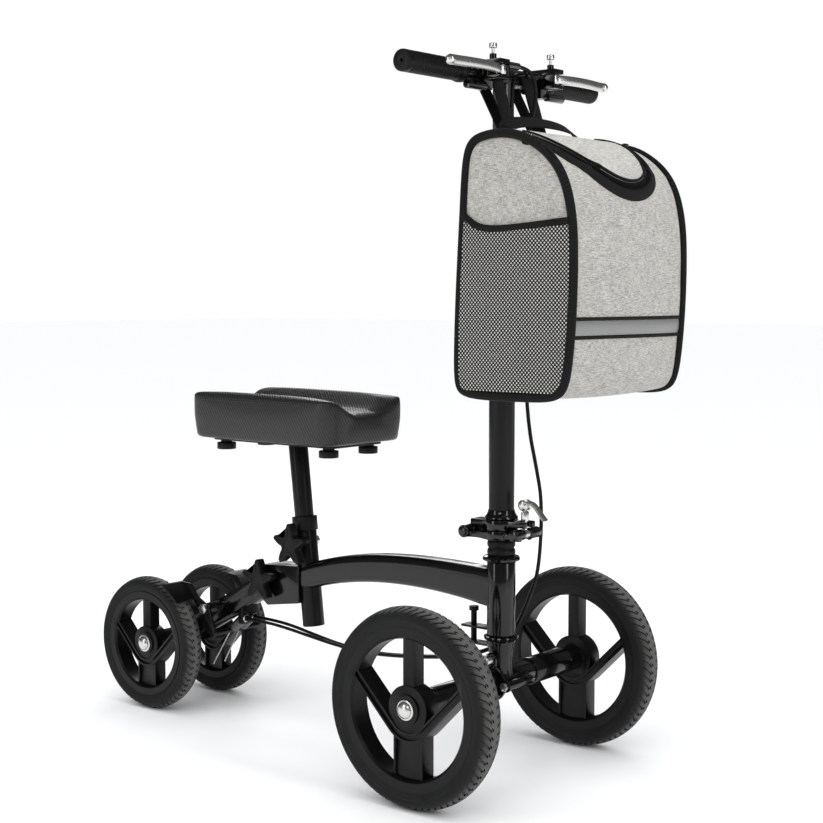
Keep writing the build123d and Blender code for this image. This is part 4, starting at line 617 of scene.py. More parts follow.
def tyre(name, radius, width, bead_radius, lugs):
    """One tyre of lugs round its tread, wrapped about the Y axis through its rim."""
    across = SECTION + [(depth, -y) for depth, y in reversed(SECTION[:-1])]
    columns, rows = lugs * 3, len(across) - 1
    first = (rows - TREAD_ROWS) // 2
    bm = bmesh.new()
    bmesh.ops.create_grid(bm, x_segments=columns, y_segments=rows, size=0.5)
    depth = radius - bead_radius
    for vert in bm.verts:
        turn = (vert.co.x + 0.5) * 2 * pi
        row = round((vert.co.y + 0.5) * rows)
        drop, share = across[row]
        lean = min(abs(share), 1.0) * LUG_SLANT * 2 * pi / columns
        r, y = radius - drop * depth, share * width / 2
        vert.co = Vector((r * cos(turn + lean), y, r * sin(turn + lean))) * MM
    bm.faces.ensure_lookup_table()
    grooves = []
    for index, face in enumerate(bm.faces):
        row, column = index // columns - first, index % columns
        if not 0 <= row < TREAD_ROWS:
            continue
        inward = min(row, TREAD_ROWS - 1 - row)
        shoulder_groove = inward < 4 and (column + (0 if row < 6 else 1)) % 3 == 0
        centre_line = inward == 4 and (column + (0 if row < 6 else 1)) % 3 == 1
        if shoulder_groove or centre_line:
            grooves.append(face)
    bmesh.ops.remove_doubles(bm, verts=bm.verts, dist=1e-6)
    grooves = [f for f in grooves if f.is_valid]
    bmesh.ops.recalc_face_normals(bm, faces=bm.faces)
    bmesh.ops.inset_region(bm, faces=grooves, use_boundary=True, use_even_offset=True,
                           thickness=GROOVE_SLOPE * MM, depth=-GROOVE_DEPTH * MM)
    centre = middle_of("tyre_" + name)
    bmesh.ops.translate(bm, vec=centre, verts=bm.verts)
    return piece("tread_" + name, bm, "wheel_" + name, tread_rubber, ["tyre_" + name], 32)


for side in ("right", "left"):
    done = tyre("front_" + side, 127, 41, 103.5, 74)
    tyre("rear_" + side, 102, 36, 80, 60)
    print("front tyre", len(done.data.polygons), "faces")

# %% [markdown]
# ## Star knobs
# The two clamp knobs are five-armed stars, moulded in one piece. The outline is one formula, an
# arm's worth of radius repeated five times, and the slab is crowned and bevelled like a moulding.

# %% Star knobs


def star_knob(node, body):
    low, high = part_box(node)
    x, z = (low.x + high.x) / 2, (low.z + high.z) / 2
    outer_radius, root_radius, arms, thickness = (high.x - low.x) / 2 / MM, 15.0, 5, 15.0
    bm = bmesh.new()
    bmesh.ops.create_circle(bm, segments=100, radius=1.0, cap_ends=True)
    for vert in bm.verts:
        turn = atan2(vert.co.y, vert.co.x)
        share = abs(((turn - pi / 10) * arms / (2 * pi) + 0.5) % 1 - 0.5) * 2
        fall = min(max((share - 0.16) / 0.62, 0), 1)
        fall = fall ** 0.8
        vert.co = Vector((cos(turn), sin(turn), 0)) * (outer_radius - (outer_radius - root_radius) * fall) * MM
    made = bmesh.ops.extrude_face_region(bm, geom=bm.faces[:])
    top = [v for v in made["geom"] if isinstance(v, bmesh.types.BMVert)]
    bmesh.ops.translate(bm, vec=(0, 0, thickness * MM), verts=top)
    bmesh.ops.recalc_face_normals(bm, faces=bm.faces)
    rounded(bm, 2.4, 3, 50)
    cap = max(bm.faces, key=lambda f: f.calc_center_median().z)
    bmesh.ops.inset_region(bm, faces=[cap], thickness=2.0 * MM, depth=0)
    bmesh.ops.inset_region(bm, faces=[cap], thickness=0.8 * MM, depth=-0.8 * MM)
    lay = Matrix.Translation((x, low.y + thickness * MM, z)) @ Matrix.Rotation(pi / 2, 4, "X")
    bmesh.ops.transform(bm, matrix=lay, verts=bm.verts)
    piece(node + "_star", bm, body, knob_plastic, [node], 40)
    reach = (high.y - low.y) / MM
    stem = turned([(0, thickness), (9, thickness), (9, thickness + 7), (6, thickness + 9), (4, thickness + 9),
                   (4, reach), (0, reach)], (x, low.y, z))
    piece(node + "_screw", stem, body, bright_plate)


star_knob("star_knob_seat", "seat_knob")
star_knob("star_knob_neck", "neck_knob")

# %% [markdown]
# ## Knee rest
# The rest is foam on a board, inside a sewn vinyl cover. Its two long sides are raised and a
# trough runs between them. The form is shaped first, then a cloth simulation puffs the cover out
# from inside, so it swells between its corners as stuffed vinyl does, and last come the seams.

# %% Shape the cushion
pad_low, pad_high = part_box("knee_pad")
pad_middle, pad_size = (pad_low + pad_high) / 2, pad_high - pad_low
TROUGH_DEPTH, CORNER = 24.0, 24.0


def pad_form():
    """The cushion before it is puffed out, a little smaller than its box."""
    shrink_mm = 3.0
    bm = bmesh.new()
    bmesh.ops.create_cube(bm, size=2.0)
    bmesh.ops.subdivide_edges(bm, edges=bm.edges, cuts=15, use_grid_fill=True)
    half = Vector((pad_size.x / 2 / MM - shrink_mm, pad_size.y / 2 / MM - shrink_mm, 0))
    top = pad_size.z / MM - shrink_mm / 2
    for vert in bm.verts:
        u, v, w = vert.co
        x, y = u * half.x, v * half.y
        over_x, over_y = max(abs(x) - (half.x - CORNER), 0), max(abs(y) - (half.y - CORNER), 0)
        reach = hypot(over_x, over_y)
        if reach > CORNER:
            x -= (1 if x > 0 else -1) * over_x * (1 - CORNER / reach)
            y -= (1 if y > 0 else -1) * over_y * (1 - CORNER / reach)
        across = abs(y) / half.y
        trough = (1 - min(max((across - 0.3) / 0.5, 0), 1)) * TROUGH_DEPTH
        surface = top - trough - 2.0 * (1 + x / half.x)
        z = (w + 1) / 2 * surface
        tuck = 1 - 0.03 * max(-w, 0)
        vert.co = Vector((x * tuck, y * tuck, z)) * MM
    bmesh.ops.translate(bm, vec=(pad_middle.x, pad_middle.y, pad_low.z), verts=bm.verts)
    bmesh.ops.smooth_vert(bm, verts=bm.verts, factor=0.5, use_axis_x=True, use_axis_y=True, use_axis_z=True)
    bmesh.ops.recalc_face_normals(bm, faces=bm.faces)
    return bm


cushion = piece("cushion", pad_form(), None, vinyl)

# %% [markdown]
# The simulation runs on the form itself, remeshed to even faces. Pressure pushes the cloth out and its own
# stiffness holds it, and no point may move farther than a cap, so the cushion keeps its size.

# %% Puff the cushion out


def puff(obj, voxel_mm, pressure, frames, cap_mm, pinned_below):
    """Inflate a closed form with Cloth, apply the result, and cap how far each point has moved."""
    bpy.context.view_layer.objects.active = obj
    for other in bpy.context.selected_objects:
        other.select_set(False)
    obj.select_set(True)
    remesh = obj.modifiers.new("even", "REMESH")
    remesh.mode = "VOXEL"
    remesh.voxel_size = voxel_mm * MM
    bpy.ops.object.modifier_apply(modifier="even")
    start = [v.co.copy() for v in obj.data.vertices]
    held = obj.vertex_groups.new(name="held")
    held.add([i for i, co in enumerate(start) if co.z < pinned_below], 1.0, "REPLACE")
    cloth = obj.modifiers.new("cloth", "CLOTH")
    cloth.settings.quality = 5
    cloth.settings.use_pressure = True
    cloth.settings.uniform_pressure_force = pressure
    cloth.settings.tension_stiffness = 40
    cloth.settings.compression_stiffness = 40
    cloth.settings.bending_stiffness = 6
    cloth.settings.effector_weights.gravity = 0
    cloth.settings.vertex_group_mass = "held"
    cloth.point_cache.frame_end = frames
    for step in range(1, frames + 1):
        bpy.context.scene.frame_set(step)
    bpy.ops.object.modifier_apply(modifier="cloth")
    bpy.context.scene.frame_set(1)
    farthest = 0.0
    for vert, before in zip(obj.data.vertices, start):
        moved = vert.co - before
        if moved.length > cap_mm * MM:
            vert.co = before + moved.normalized() * cap_mm * MM
        farthest = max(farthest, (vert.co - before).length)
    obj.vertex_groups.clear()
    print(obj.name, "puffed by up to", round(farthest / MM, 1), "mm,", len(obj.data.polygons), "faces")


puff(cushion, 5.0, 4.0, 16, 5.0, pad_low.z + 0.004)
bm = bmesh.new()
bm.from_mesh(cushion.data)
for vert in bm.verts:
    vert.co.z = max(vert.co.z, pad_low.z + 0.0002)
bmesh.ops.smooth_vert(bm, verts=bm.verts, factor=0.5, use_axis_x=True, use_axis_y=True, use_axis_z=True)
bm.to_mesh(cushion.data)
cushion_surface = BVHTree.FromBMesh(bm)
bm.free()
cushion.data.shade_smooth()
finish = cushion.modifiers.new("smooth", "SUBSURF")
finish.levels = finish.render_levels = 1
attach(cushion, "knee_rest")
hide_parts("knee_pad")

# %% [markdown]
# A sewn seam is a shallow ditch with a row of stitches on each side. The stitches are the part
# that the eye finds, so each is a small capsule laid on the surface along its own line.

# %% Seams and stitches


def on_surface(tree, point):
    place, normal, _, _ = tree.find_nearest(point)
    return place, normal


def stitches(name, tree, line, pitch_mm, length_mm, body, material):
    """A row of capsules lying on a surface along a line of points."""
    bm = bmesh.new()
    walked, step = 0.0, pitch_mm * MM
    for a, b in zip(line, line[1:]):
        span = (b - a).length
        while walked < span:
            place, normal = on_surface(tree, a.lerp(b, walked / span))
            along = (b - a).normalized()
            side = along.cross(normal).normalized()
            turn = Matrix((along, side, normal)).transposed().to_4x4()
            lay = Matrix.Translation(place + normal * 0.0002) @ turn @ Matrix.Diagonal((length_mm / 2, 0.5, 0.45, 1))
            bmesh.ops.create_icosphere(bm, subdivisions=1, radius=MM, matrix=lay)
            walked += step
        walked -= span
    return piece(name, bm, body, material, crease=80)


def seam(name, tree, points, gap_mm, body, offset):
    """Two rows of stitches beside a line that is laid on the surface."""
    for row, side in (("a", -1), ("b", 1)):
        line = [p + offset * side * gap_mm * MM for p in points]
        stitches(name + "_" + row, tree, line, 3.2, 2.2, body, thread)


def even_line(a, b, parts=40):
    return [a.lerp(b, k / parts) for k in range(parts + 1)]


for side in (-1, 1):
    y = pad_middle.y + side * pad_size.y / 2
    upper = pad_high.z - 0.011
    label = "right" if side < 0 else "left"
    seam("pad_seam_top_" + label, cushion_surface,
         even_line(Vector((pad_low.x + 0.02, y, upper)), Vector((pad_high.x - 0.02, y, upper)), 60), 1.6,
         "knee_rest", Vector((0, 0, 1)))
    x = pad_high.x - 0.026
    seam("pad_seam_front_" + label, cushion_surface,
         even_line(Vector((x, y, pad_low.z + 0.006)), Vector((x, y, pad_high.z - 0.012))), 1.8,
         "knee_rest", Vector((1, 0, 0)))
for x, label in ((pad_low.x, "rear"), (pad_high.x, "front")):
    upper = pad_high.z - 0.02
    seam("pad_seam_end_" + label, cushion_surface,
         even_line(Vector((x, -0.06, upper)), Vector((x, 0.06, upper))), 1.6, "knee_rest", Vector((0, 0, 1)))

# %% [markdown]
# ## Carry bag
# The bag is stiffened with foam sheet, so it holds its shape: two D-shaped side panels, and one
# long panel wrapped over front, top and back. It still sags a little at the bottom and bulges in
# front. The wrap is a subdivided cube pushed into the side outline, then softened.

# %% The bag's body
BAG_OUTLINE = [(24, 529), (32, 516), (60, 513), (115, 513), (170, 514), (184, 528), (190, 570), (194, 625),
               (195, 690), (192, 735), (181, 775), (160, 803), (128, 824), (96, 832), (66, 831), (44, 824),
               (36, 800), (33, 740), (28, 660), (25, 590)]
BAG_HALF_WIDTH = 127.0
bag_side = [(p.x, p.z) for p in smooth_line([at(x, 0, z) for x, z in BAG_OUTLINE], cyclic=True, divisions=10)]
bag_centre = at(110, 0, 670)


def outline_at(turn):
    """The side outline's point in a direction from the bag's middle."""
    best = None
    for (x0, z0), (x1, z1) in zip(bag_side, bag_side[1:] + bag_side[:1]):
        a0 = atan2(z0 - bag_centre.z, x0 - bag_centre.x)
        a1 = atan2(z1 - bag_centre.z, x1 - bag_centre.x)
        span = (a1 - a0 + pi) % (2 * pi) - pi
        offset = (turn - a0 + pi) % (2 * pi) - pi
        if span and 0 <= offset / span <= 1:
            t = offset / span
            best = (x0 + (x1 - x0) * t, z0 + (z1 - z0) * t)
            break
    return best or (x0, z0)


def bag_form():
    bm = bmesh.new()
    bmesh.ops.create_cube(bm, size=2.0)
    bmesh.ops.subdivide_edges(bm, edges=bm.edges, cuts=31, use_grid_fill=True)
    known = {}
    for vert in bm.verts:
        u, v, w = vert.co
        reach = max(abs(u), abs(w))
        turn = round(atan2(w * 1.9, u), 5)
        if turn not in known:
            known[turn] = outline_at(turn)
        edge_x, edge_z = known[turn]
        x = bag_centre.x + (edge_x - bag_centre.x) * reach
        z = bag_centre.z + (edge_z - bag_centre.z) * reach
        y = v * BAG_HALF_WIDTH * MM
        crown = 1 - v * v
        height = (z - bag_centre.z) / 0.16
        if reach > 0.999:
            if u > 0.999:
                x += (5.0 * crown - 1.5 * noise.noise(Vector((y * 9, z * 7, 1)))) * MM
            z += (3.0 * crown if w > 0.999 else 0) * MM
            z -= (3.5 * crown if w < -0.999 else 0) * MM
        else:
            y += (1 if v > 0 else -1) * 3.0 * (1 - reach) * MM
        fold = noise.noise(Vector((x * 16, y * 14, z * 18 + height))) * 0.9 * MM
        vert.co = Vector((x, y + fold * (abs(v) > 0.999), z)) + Vector((fold * (u > 0.999), 0, 0))
    for _ in range(2):
        bmesh.ops.smooth_vert(bm, verts=bm.verts, factor=0.5, use_axis_x=True, use_axis_y=True, use_axis_z=True)
    bmesh.ops.recalc_face_normals(bm, faces=bm.faces)
    return bm


body_mesh = bag_form()
bag_surface = BVHTree.FromBMesh(body_mesh)
bag_body = piece("bag_shell", body_mesh, "handlebar", bag_cloth, ["bag"], 60)
print("bag shell", len(bag_body.data.polygons), "faces")
print("rounded with shorter offsets:", clamped)

# %% [markdown]
# Ribbon, zip tape and net are flat goods sewn onto the shell. Each starts as a grid whose points
# are dropped onto the bag's surface and lifted by the cloth's own thickness, so it follows every
# bulge and never floats.

# %% Helpers for what is sewn on


def drop(point, towards):
    """Where a ray from point meets the bag, with the surface's direction there."""
    place, normal, _, _ = bag_surface.ray_cast(point, towards)
    if place is None:
        place, normal, _, _ = bag_surface.find_nearest(point)
    return place, normal


def ribbon(name, line, width_mm, lift_mm, material, towards=None, shift_mm=0.0):
    """A strip of cloth along a line on the bag, square to that line, lift_mm thick."""
    bm = bmesh.new()
    rows = 4
    bmesh.ops.create_grid(bm, x_segments=len(line) - 1, y_segments=rows, size=0.5)
    for vert in bm.verts:
        k = round((vert.co.x + 0.5) * (len(line) - 1))
        share = vert.co.y
        along = line[min(k + 1, len(line) - 1)] - line[max(k - 1, 0)]
        sideways = on_surface(bag_surface, line[k])[1].cross(along).normalized()
        place = line[k] + sideways * (share * width_mm + shift_mm) * MM
        if towards is not None:
            spot, normal = drop(place - towards * 0.08, towards)
        else:
            spot, normal = on_surface(bag_surface, place)
        rise = lift_mm * (1.0 if abs(share) < 0.45 else 0.15)
        vert.co = spot + normal * rise * MM
    bmesh.ops.recalc_face_normals(bm, faces=bm.faces)
    middle = bm.faces[len(bm.faces) // 2]
    if middle.normal.dot(on_surface(bag_surface, middle.calc_center_median())[1]) < 0:
        bmesh.ops.reverse_faces(bm, faces=bm.faces)
    return piece(name, bm, "handlebar", material, crease=60)


# %% [markdown]
# The edges where side panels meet the wrap are bound with folded webbing. It is rounder than a
# ribbon because it is folded over two cut edges, so a slim tube along the outline is the right
# shape, half sunk into the shell.

# %% Bound edges, strip and piping
for side, label in ((-1, "right"), (1, "left")):
    rim_line = [Vector((x, side * (BAG_HALF_WIDTH - 1.0) * MM, z)) for x, z in bag_side[::4]]
    pulled = [p + (bag_centre - p) * 0.006 for p in rim_line]
    for p, q in zip(pulled, rim_line):
        p.y = q.y
    piece("bag_binding_" + label, tube_mesh(pulled, 5.6, cyclic=True, sides=4, divisions=3), "handlebar",
          black_webbing)

front_in = Vector((-1, 0, 0))
FRONT_Y = [(-124 + 248 * k / 40) * MM for k in range(41)]


def front_line(height_mm):
    return [Vector((at(205, 0, 0).x, y, height_mm * MM)) for y in FRONT_Y]


ribbon("reflective_strip", front_line(597.5), 17, 1.0, tape, front_in)
ribbon("strip_piping_upper", front_line(608.5), 4.5, 1.8, black_webbing, front_in)
ribbon("strip_piping_lower", front_line(586.5), 4.5, 1.8, black_webbing, front_in)

# %% [markdown]
# The lid is a separate panel that ends in a zip. The zip sags across the front in a wide smile:
# from the right-hand binding it falls to the middle, and it rises again short of the left one. Its two tapes are black, the
# coil between them is a row of small teeth, and a puller hangs at one end.

# %% Lid and zip
ZIP_LINE = [(118, -126, 828), (138, -112, 817), (155, -95, 804), (168, -72, 790), (177, -45, 777), (182, -18, 768),
            (184, 8, 765), (182, 34, 768), (177, 58, 778), (168, 72, 790), (155, 80, 804), (138, 84, 817),
            (115, 85, 827), (90, 85, 832)]
zip_path = smooth_line([on_surface(bag_surface, at(*p))[0] for p in ZIP_LINE], divisions=6)


def lid():
    """The panel above the zip, in the bag's heather painted lighter as painted light, from side to side and back to
    the top edge.
    """
    bm = bmesh.new()
    across, back = 44, 16
    bmesh.ops.create_grid(bm, x_segments=across, y_segments=back, size=0.5)
    for vert in bm.verts:
        k = (vert.co.x + 0.5) * (len(zip_path) - 1)
        start = zip_path[min(int(round(k)), len(zip_path) - 1)]
        share = vert.co.y + 0.5
        end = Vector((at(56, 0, 0).x, start.y * 0.98, at(0, 0, 835).z))
        spot, normal = on_surface(bag_surface, start.lerp(end, share) + Vector((0, 0, 0.02 * sin(pi * share))))
        bulge = 2.4 + 2.0 * sin(pi * min(share * 1.6, 1))
        vert.co = spot + normal * bulge * MM
    bmesh.ops.recalc_face_normals(bm, faces=bm.faces)
    if sum(f.normal.z for f in bm.faces) < 0:
        bmesh.ops.reverse_faces(bm, faces=bm.faces)
    bmesh.ops.solidify(bm, geom=bm.faces[:], thickness=2.0 * MM)
    return bm


piece("bag_lid", lid(), "handlebar", lid_cloth_painted_lighter, crease=60)
ribbon("zip_tape", zip_path, 30, 3.0, black_webbing, shift_mm=-2.0)
ribbon("lid_edge", zip_path, 4.5, 5.6, black_webbing, shift_mm=8.5)


def zip_teeth():
    bm = bmesh.new()
    pitch = 2.2 * MM
    walked = 0.0
    for a, b in zip(zip_path, zip_path[1:]):
        span = (b - a).length
        while walked < span:
            place, normal = on_surface(bag_surface, a.lerp(b, walked / span))
            along = (b - a).normalized()
            side = along.cross(normal).normalized()
            turn = Matrix((along, side, normal)).transposed().to_4x4()
            size = Matrix.Diagonal((1.3, 5.6, 1.8, 1))
            lay = Matrix.Translation(place + normal * 4.0 * MM) @ turn @ size
            bmesh.ops.create_cube(bm, size=MM, matrix=lay)
            walked += pitch
        walked -= span
    return bm


piece("zip_teeth", zip_teeth(), "handlebar", knob_plastic, crease=30)
slider_at, slider_out = on_surface(bag_surface, zip_path[-8])
bm = bmesh.new()
bmesh.ops.create_cube(bm, size=1.0)
bmesh.ops.scale(bm, vec=Vector((6, 9, 4)) * MM, verts=bm.verts)
rounded(bm, 1.4, 2)
bmesh.ops.translate(bm, vec=slider_at + slider_out * 6 * MM, verts=bm.verts)
piece("zip_slider", bm, "handlebar", enamel)

# %% [markdown]
# Each side panel carries a pocket of knitted net. Its top edge is bound and curves down in a
# shallow dip, and the net stands a little proud of the panel, since it is cut wider than it is
# sewn.

# %% Net pockets and handle
POCKET_TOP = [(34, 736), (48, 724), (66, 717), (95, 716), (130, 718), (165, 721), (190, 723)]


def pocket_top(x_mm):
    for (x0, z0), (x1, z1) in zip(POCKET_TOP, POCKET_TOP[1:]):
        if x0 <= x_mm <= x1:
            return z0 + (z1 - z0) * (x_mm - x0) / (x1 - x0)
    return POCKET_TOP[0][1] if x_mm < POCKET_TOP[0][0] else POCKET_TOP[-1][1]


def edge_x(z, forward):
    """The side outline's foremost or rearmost X at a height."""
    crossings = []
    for (x0, z0), (x1, z1) in zip(bag_side, bag_side[1:] + bag_side[:1]):
        if (z0 - z) * (z1 - z) <= 0 and z0 != z1:
            crossings.append(x0 + (x1 - x0) * (z - z0) / (z1 - z0))
    return max(crossings) if forward else min(crossings)


def pocket(side):
    bm = bmesh.new()
    bmesh.ops.create_grid(bm, x_segments=24, y_segments=24, size=0.5)
    for vert in bm.verts:
        across, rise = vert.co.x + 0.5, vert.co.y + 0.5
        z = at(0, 0, 520).z * (1 - rise) + at(0, 0, 719).z * rise
        back, front = edge_x(z, False) + 0.004, edge_x(z, True) - 0.004
        x = back + (front - back) * across
        top_z = pocket_top((x - STEER_X) / MM) * MM
        z = at(0, 0, 520).z * (1 - rise) + top_z * rise
        proud = 3.4 + 3.0 * sin(pi * across) * rise
        vert.co = Vector((x, side * (BAG_HALF_WIDTH + proud) * MM, z))
    bmesh.ops.recalc_face_normals(bm, faces=bm.faces)
    if bm.faces[:][0].normal.y * side < 0:
        bmesh.ops.reverse_faces(bm, faces=bm.faces)
    return bm


for side, label in ((-1, "right"), (1, "left")):
    piece("pocket_net_" + label, pocket(side), "handlebar", net, crease=60)
    hem = [at(x, 0, z) for x, z in POCKET_TOP]
    for p in hem:
        across = (p.x - at(34, 0, 0).x) / (at(190, 0, 0).x - at(34, 0, 0).x)
        p.y = side * (BAG_HALF_WIDTH + 3.0 + 3.0 * sin(pi * across)) * MM
    bm = tube_mesh(hem, 4.4, sides=3, divisions=5)
    middle_y = side * (BAG_HALF_WIDTH + 3.5) * MM
    for vert in bm.verts:
        vert.co.y = middle_y + (vert.co.y - middle_y) * 0.62
    piece("pocket_hem_" + label, bm, "handlebar", black_webbing)

handle_line = smooth_line([at(47, -66, 828), at(44, -60, 841), at(42, -44, 852), at(42, 0, 857), at(42, 60, 857),
                           at(42, 94, 852), at(44, 110, 841), at(47, 116, 828)], divisions=6)
bm = bmesh.new()
bmesh.ops.create_grid(bm, x_segments=len(handle_line) - 1, y_segments=2, size=0.5)
for vert in bm.verts:
    k = round((vert.co.x + 0.5) * (len(handle_line) - 1))
    vert.co = handle_line[k] + Vector((0.8, 0, -0.6)) * vert.co.y * 22 * MM
bmesh.ops.recalc_face_normals(bm, faces=bm.faces)
bmesh.ops.solidify(bm, geom=bm.faces[:], thickness=1.8 * MM)
piece("bag_handle", bm, "handlebar", black_webbing, crease=50)
softened("bag_straps", 0.5, black_webbing)

# %% [markdown]
# ## Brake cables
# Each cable is held by its lever at one end and its yoke at the other, and on the scooter it bends
# where it turns and folds. It is built in the same three stretches as the CAD, each a smooth NURBS
# line; here the stretches are fixed tubes that ride on no body and do not bend.

# %% Cables
CABLE_RADIUS = 2.5
BAR = 916
RIGHT_UPPER = [(34, -21, 926), (34, 4, 926), (36, 18, 916), (37, 22, 893), (33, 19, 864), (26, 17, 833),
               (18, 21, 800), (12.5, 29, 768), (11, 33, 730), (12, 33, 668), (11, 33, 610), (12, 33, 554)]
LEFT_UPPER = [(24, 21, 920), (24, -2, 920), (26, -14, 911), (27, -18, 889), (25, -16, 860), (22, -7, 830),
              (21, 7, 801), (24, 23, 776), (22, 36, 746), (15, 41, 712), (10, 40, 664), (9, 40, 610),
              (8, 38.5, 554)]
RIGHT_MIDDLE = [(18, 35, 462), (29, 37, 412), (39, 38, 362)]
LEFT_MIDDLE = [(14, 40.5, 462), (25, 42.5, 412), (35, 43.5, 362)]
RIGHT_REAR = [(36, 36, 274), (25, 31, 238), (12, 28, 205), (-5, 27, 180), (-28, 16, 161), (-56, 2, 151),
              (-96, -7, 144), (-152, -10, 137), (-214, -9, 131), (-280, -7, 132), (-340, -8, 139),
              (-390, -9.4, 145.5), (-432, -9, 148), (-472, -9, 148)]
LEFT_REAR = [(32, 41.5, 274), (21, 36.5, 238), (8, 33, 205), (-9, 32, 180), (-31, 22, 161), (-58, 9, 151),
             (-96, -0.5, 144), (-152, -3.5, 137), (-214, -2.5, 131), (-280, 0, 132), (-340, 3.5, 139),
             (-390, 7.4, 145.5), (-432, 9, 148), (-472, 9, 148)]


def halfway(a, b):
    return tuple((p + q) / 2 for p, q in zip(a, b))


def cable(name, route, node):
    """One stretch of cable along a route of places, a fixed tube on no body."""
    bm = tube_mesh([at(*p) for p in route], CABLE_RADIUS, sides=3, divisions=8)
    obj = piece(name, bm, None, cable_jacket, [node], 60)
    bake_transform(obj)


for label, upper, middle, rear in (("right", RIGHT_UPPER, RIGHT_MIDDLE, RIGHT_REAR),
                                   ("left", LEFT_UPPER, LEFT_MIDDLE, LEFT_REAR)):
    over, under = halfway(upper[-1], middle[0]), halfway(middle[-1], rear[0])
    cable("cable_upper_" + label, upper + [over], "brake_cables_upper")
    cable("cable_middle_" + label, [over] + middle + [under], "brake_cables_middle")
    cable("cable_rear_" + label, [under] + rear, "brake_cables_rear")

# %% [markdown]
# ## Springs and inner wires
# A coil spring is a helix: a small circle spun round an axis while it climbs. The spin operator
# does this with dvec, the climb of each step.

# %% Coil springs


def coil(start, end, coil_radius_mm, wire_mm, turns):
    """A helical spring between two points."""
    axis = end - start
    steps = turns * 14
    bm = bmesh.new()
    ring = bmesh.ops.create_circle(bm, segments=8, radius=wire_mm * MM,
                                   matrix=Matrix.Translation((coil_radius_mm * MM, 0, 0)) @
                                   Matrix.Rotation(pi / 2, 4, "X"))
    edges = list({e for v in ring["verts"] for e in v.link_edges})
    bmesh.ops.spin(bm, geom=ring["verts"] + edges, cent=(0, 0, 0), axis=(0, 0, 1), angle=turns * 2 * pi,
                   steps=steps, dvec=(0, 0, axis.length / steps))
    bmesh.ops.holes_fill(bm, edges=[e for e in bm.edges if e.is_boundary])
    bmesh.ops.recalc_face_normals(bm, faces=bm.faces)
    turn = axis.to_track_quat("Z", "Y").to_matrix().to_4x4()
    bmesh.ops.transform(bm, matrix=Matrix.Translation(start) @ turn, verts=bm.verts)
    return bm


for side, label in ((-1, "right"), (1, "left")):
    yoke, clamp = at(-481, side * 9, 145), at(-497, side * 9, 131)
    piece("return_spring_" + label, coil(yoke, clamp, 6.4, 1.15, 7), "frame", spring_steel,
          ["brake_springs"], 60)
    ferrule = bmesh.new()
    bmesh.ops.create_cone(ferrule, cap_ends=True, segments=6, radius1=6.4 * MM, radius2=6.4 * MM, depth=7 * MM,
                          matrix=Matrix.Translation(at(-474, side * 9, 148)) @ Matrix.Rotation(pi / 2, 4, "Y"))
    piece("cable_nut_" + label, rounded(ferrule, 0.8, 2), "frame", bright_plate)
    tail = at(-541, side * 12, 68)
    piece("inner_wire_" + label, tube_mesh([at(-474, side * 9, 148), at(-495, side * 9, 133), at(-507, side * 10, 122),
                                            at(-516, side * 10.5, 108), tail], 1.0, sides=2), "frame",
          bright_plate)
latch_low, latch_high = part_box("latch_bolt")

# %% [markdown]
# ## The fold, the grips and the brake levers
# The two castings of the fold carry round barrels with polished end faces. They keep their CAD
# shape with generous rounding, since a casting cannot have a sharp edge. The eye bolt gets a real
# spring over its plain sleeve.

# %% Fold castings and latch
for node in ("fold_base", "fold_head"):
    softened(node, 1.6, enamel)
softened("latch_bolt", 0.6, bright_plate)
piece("latch_spring", coil(at(38, 0, 343.5), at(38, 0, 356), 4.3, 0.75, 6), "latch", spring_steel,
      crease=60)
bm = tube_mesh([at(39, 0, 369), at(48, 0, 368.5), at(57, 0, 361), at(64, 0, 352), at(70, 0, 346.5)], 1.7, sides=4)
for vert in bm.verts:
    vert.co.y *= 4.0
for side in (-1, 1):
    cheek = Matrix.Translation(at(38, side * 5.4, 364)) @ Matrix.Diagonal((7.4, 3.4, 7.4, 1))
    bmesh.ops.create_uvsphere(bm, u_segments=24, v_segments=14, radius=MM, matrix=cheek)
piece("latch_cam", bm, "latch_cam", bright_plate, ["latch_lever"], 60)
collar_ring = turned([(17.1, 0), (21.4, 0), (22.2, 1.2), (21.8, 3.0), (19.6, 5.4), (18.4, 8.6), (17.7, 11.5), (17.1, 12.0),
                      (17.1, 0)], at(0, 0, 343.4), "Z")
piece("column_ring", collar_ring, "column", enamel)


def lathe_cup(name, body, profile, place, material, replaces=()):
    return piece(name, turned(profile, place, "Z", 64), body, material, replaces)


lathe_cup("headset_upper_cup", "frame", [(13.1, 8.5), (20, 8.5), (23.4, 7.4), (25.0, 5.0), (24.6, 2.6), (21.8, 1.2),
                                         (19.4, 0.0), (16.0, 0.0), (16, -9.5), (13.1, -9.5), (13.1, 8.5)],
          at(0, 0, 286), enamel, ["headset_cups"])
lathe_cup("headset_lower_cup", "frame", [(13.1, 9.5), (16, 9.5), (16, 0), (19.4, 0), (22.6, -1.2), (23.2, -2.6),
                                         (21.6, -4.0), (22.4, -5.2), (20.4, -6), (13.1, -6), (13.1, 9.5)],
          at(0, 0, 188), enamel)
spacer_profile = [(13.0, 0), (16.6, 0), (17.6, 1.0), (18.6, 3.4), (18.8, 6.4), (18.2, 9.0), (16.9, 10.8),
                  (16.9, 11.6), (18.2, 13.2), (18.8, 15.6), (18.6, 18.6), (17.8, 20.8), (16.4, 22.6),
                  (13.0, 22.7), (13.0, 0)]
lathe_cup("spacer_sleeve", "fork", spacer_profile, at(0, 0, 293.5), grip_rubber, ["rubber_spacer"])

# %% [markdown]
# The grips are rubber sleeves with fine ribs round them, a flange near the lever and a rounded
# end. A profile with one bump per rib, spun round the bar, is all they need.

# %% Grips


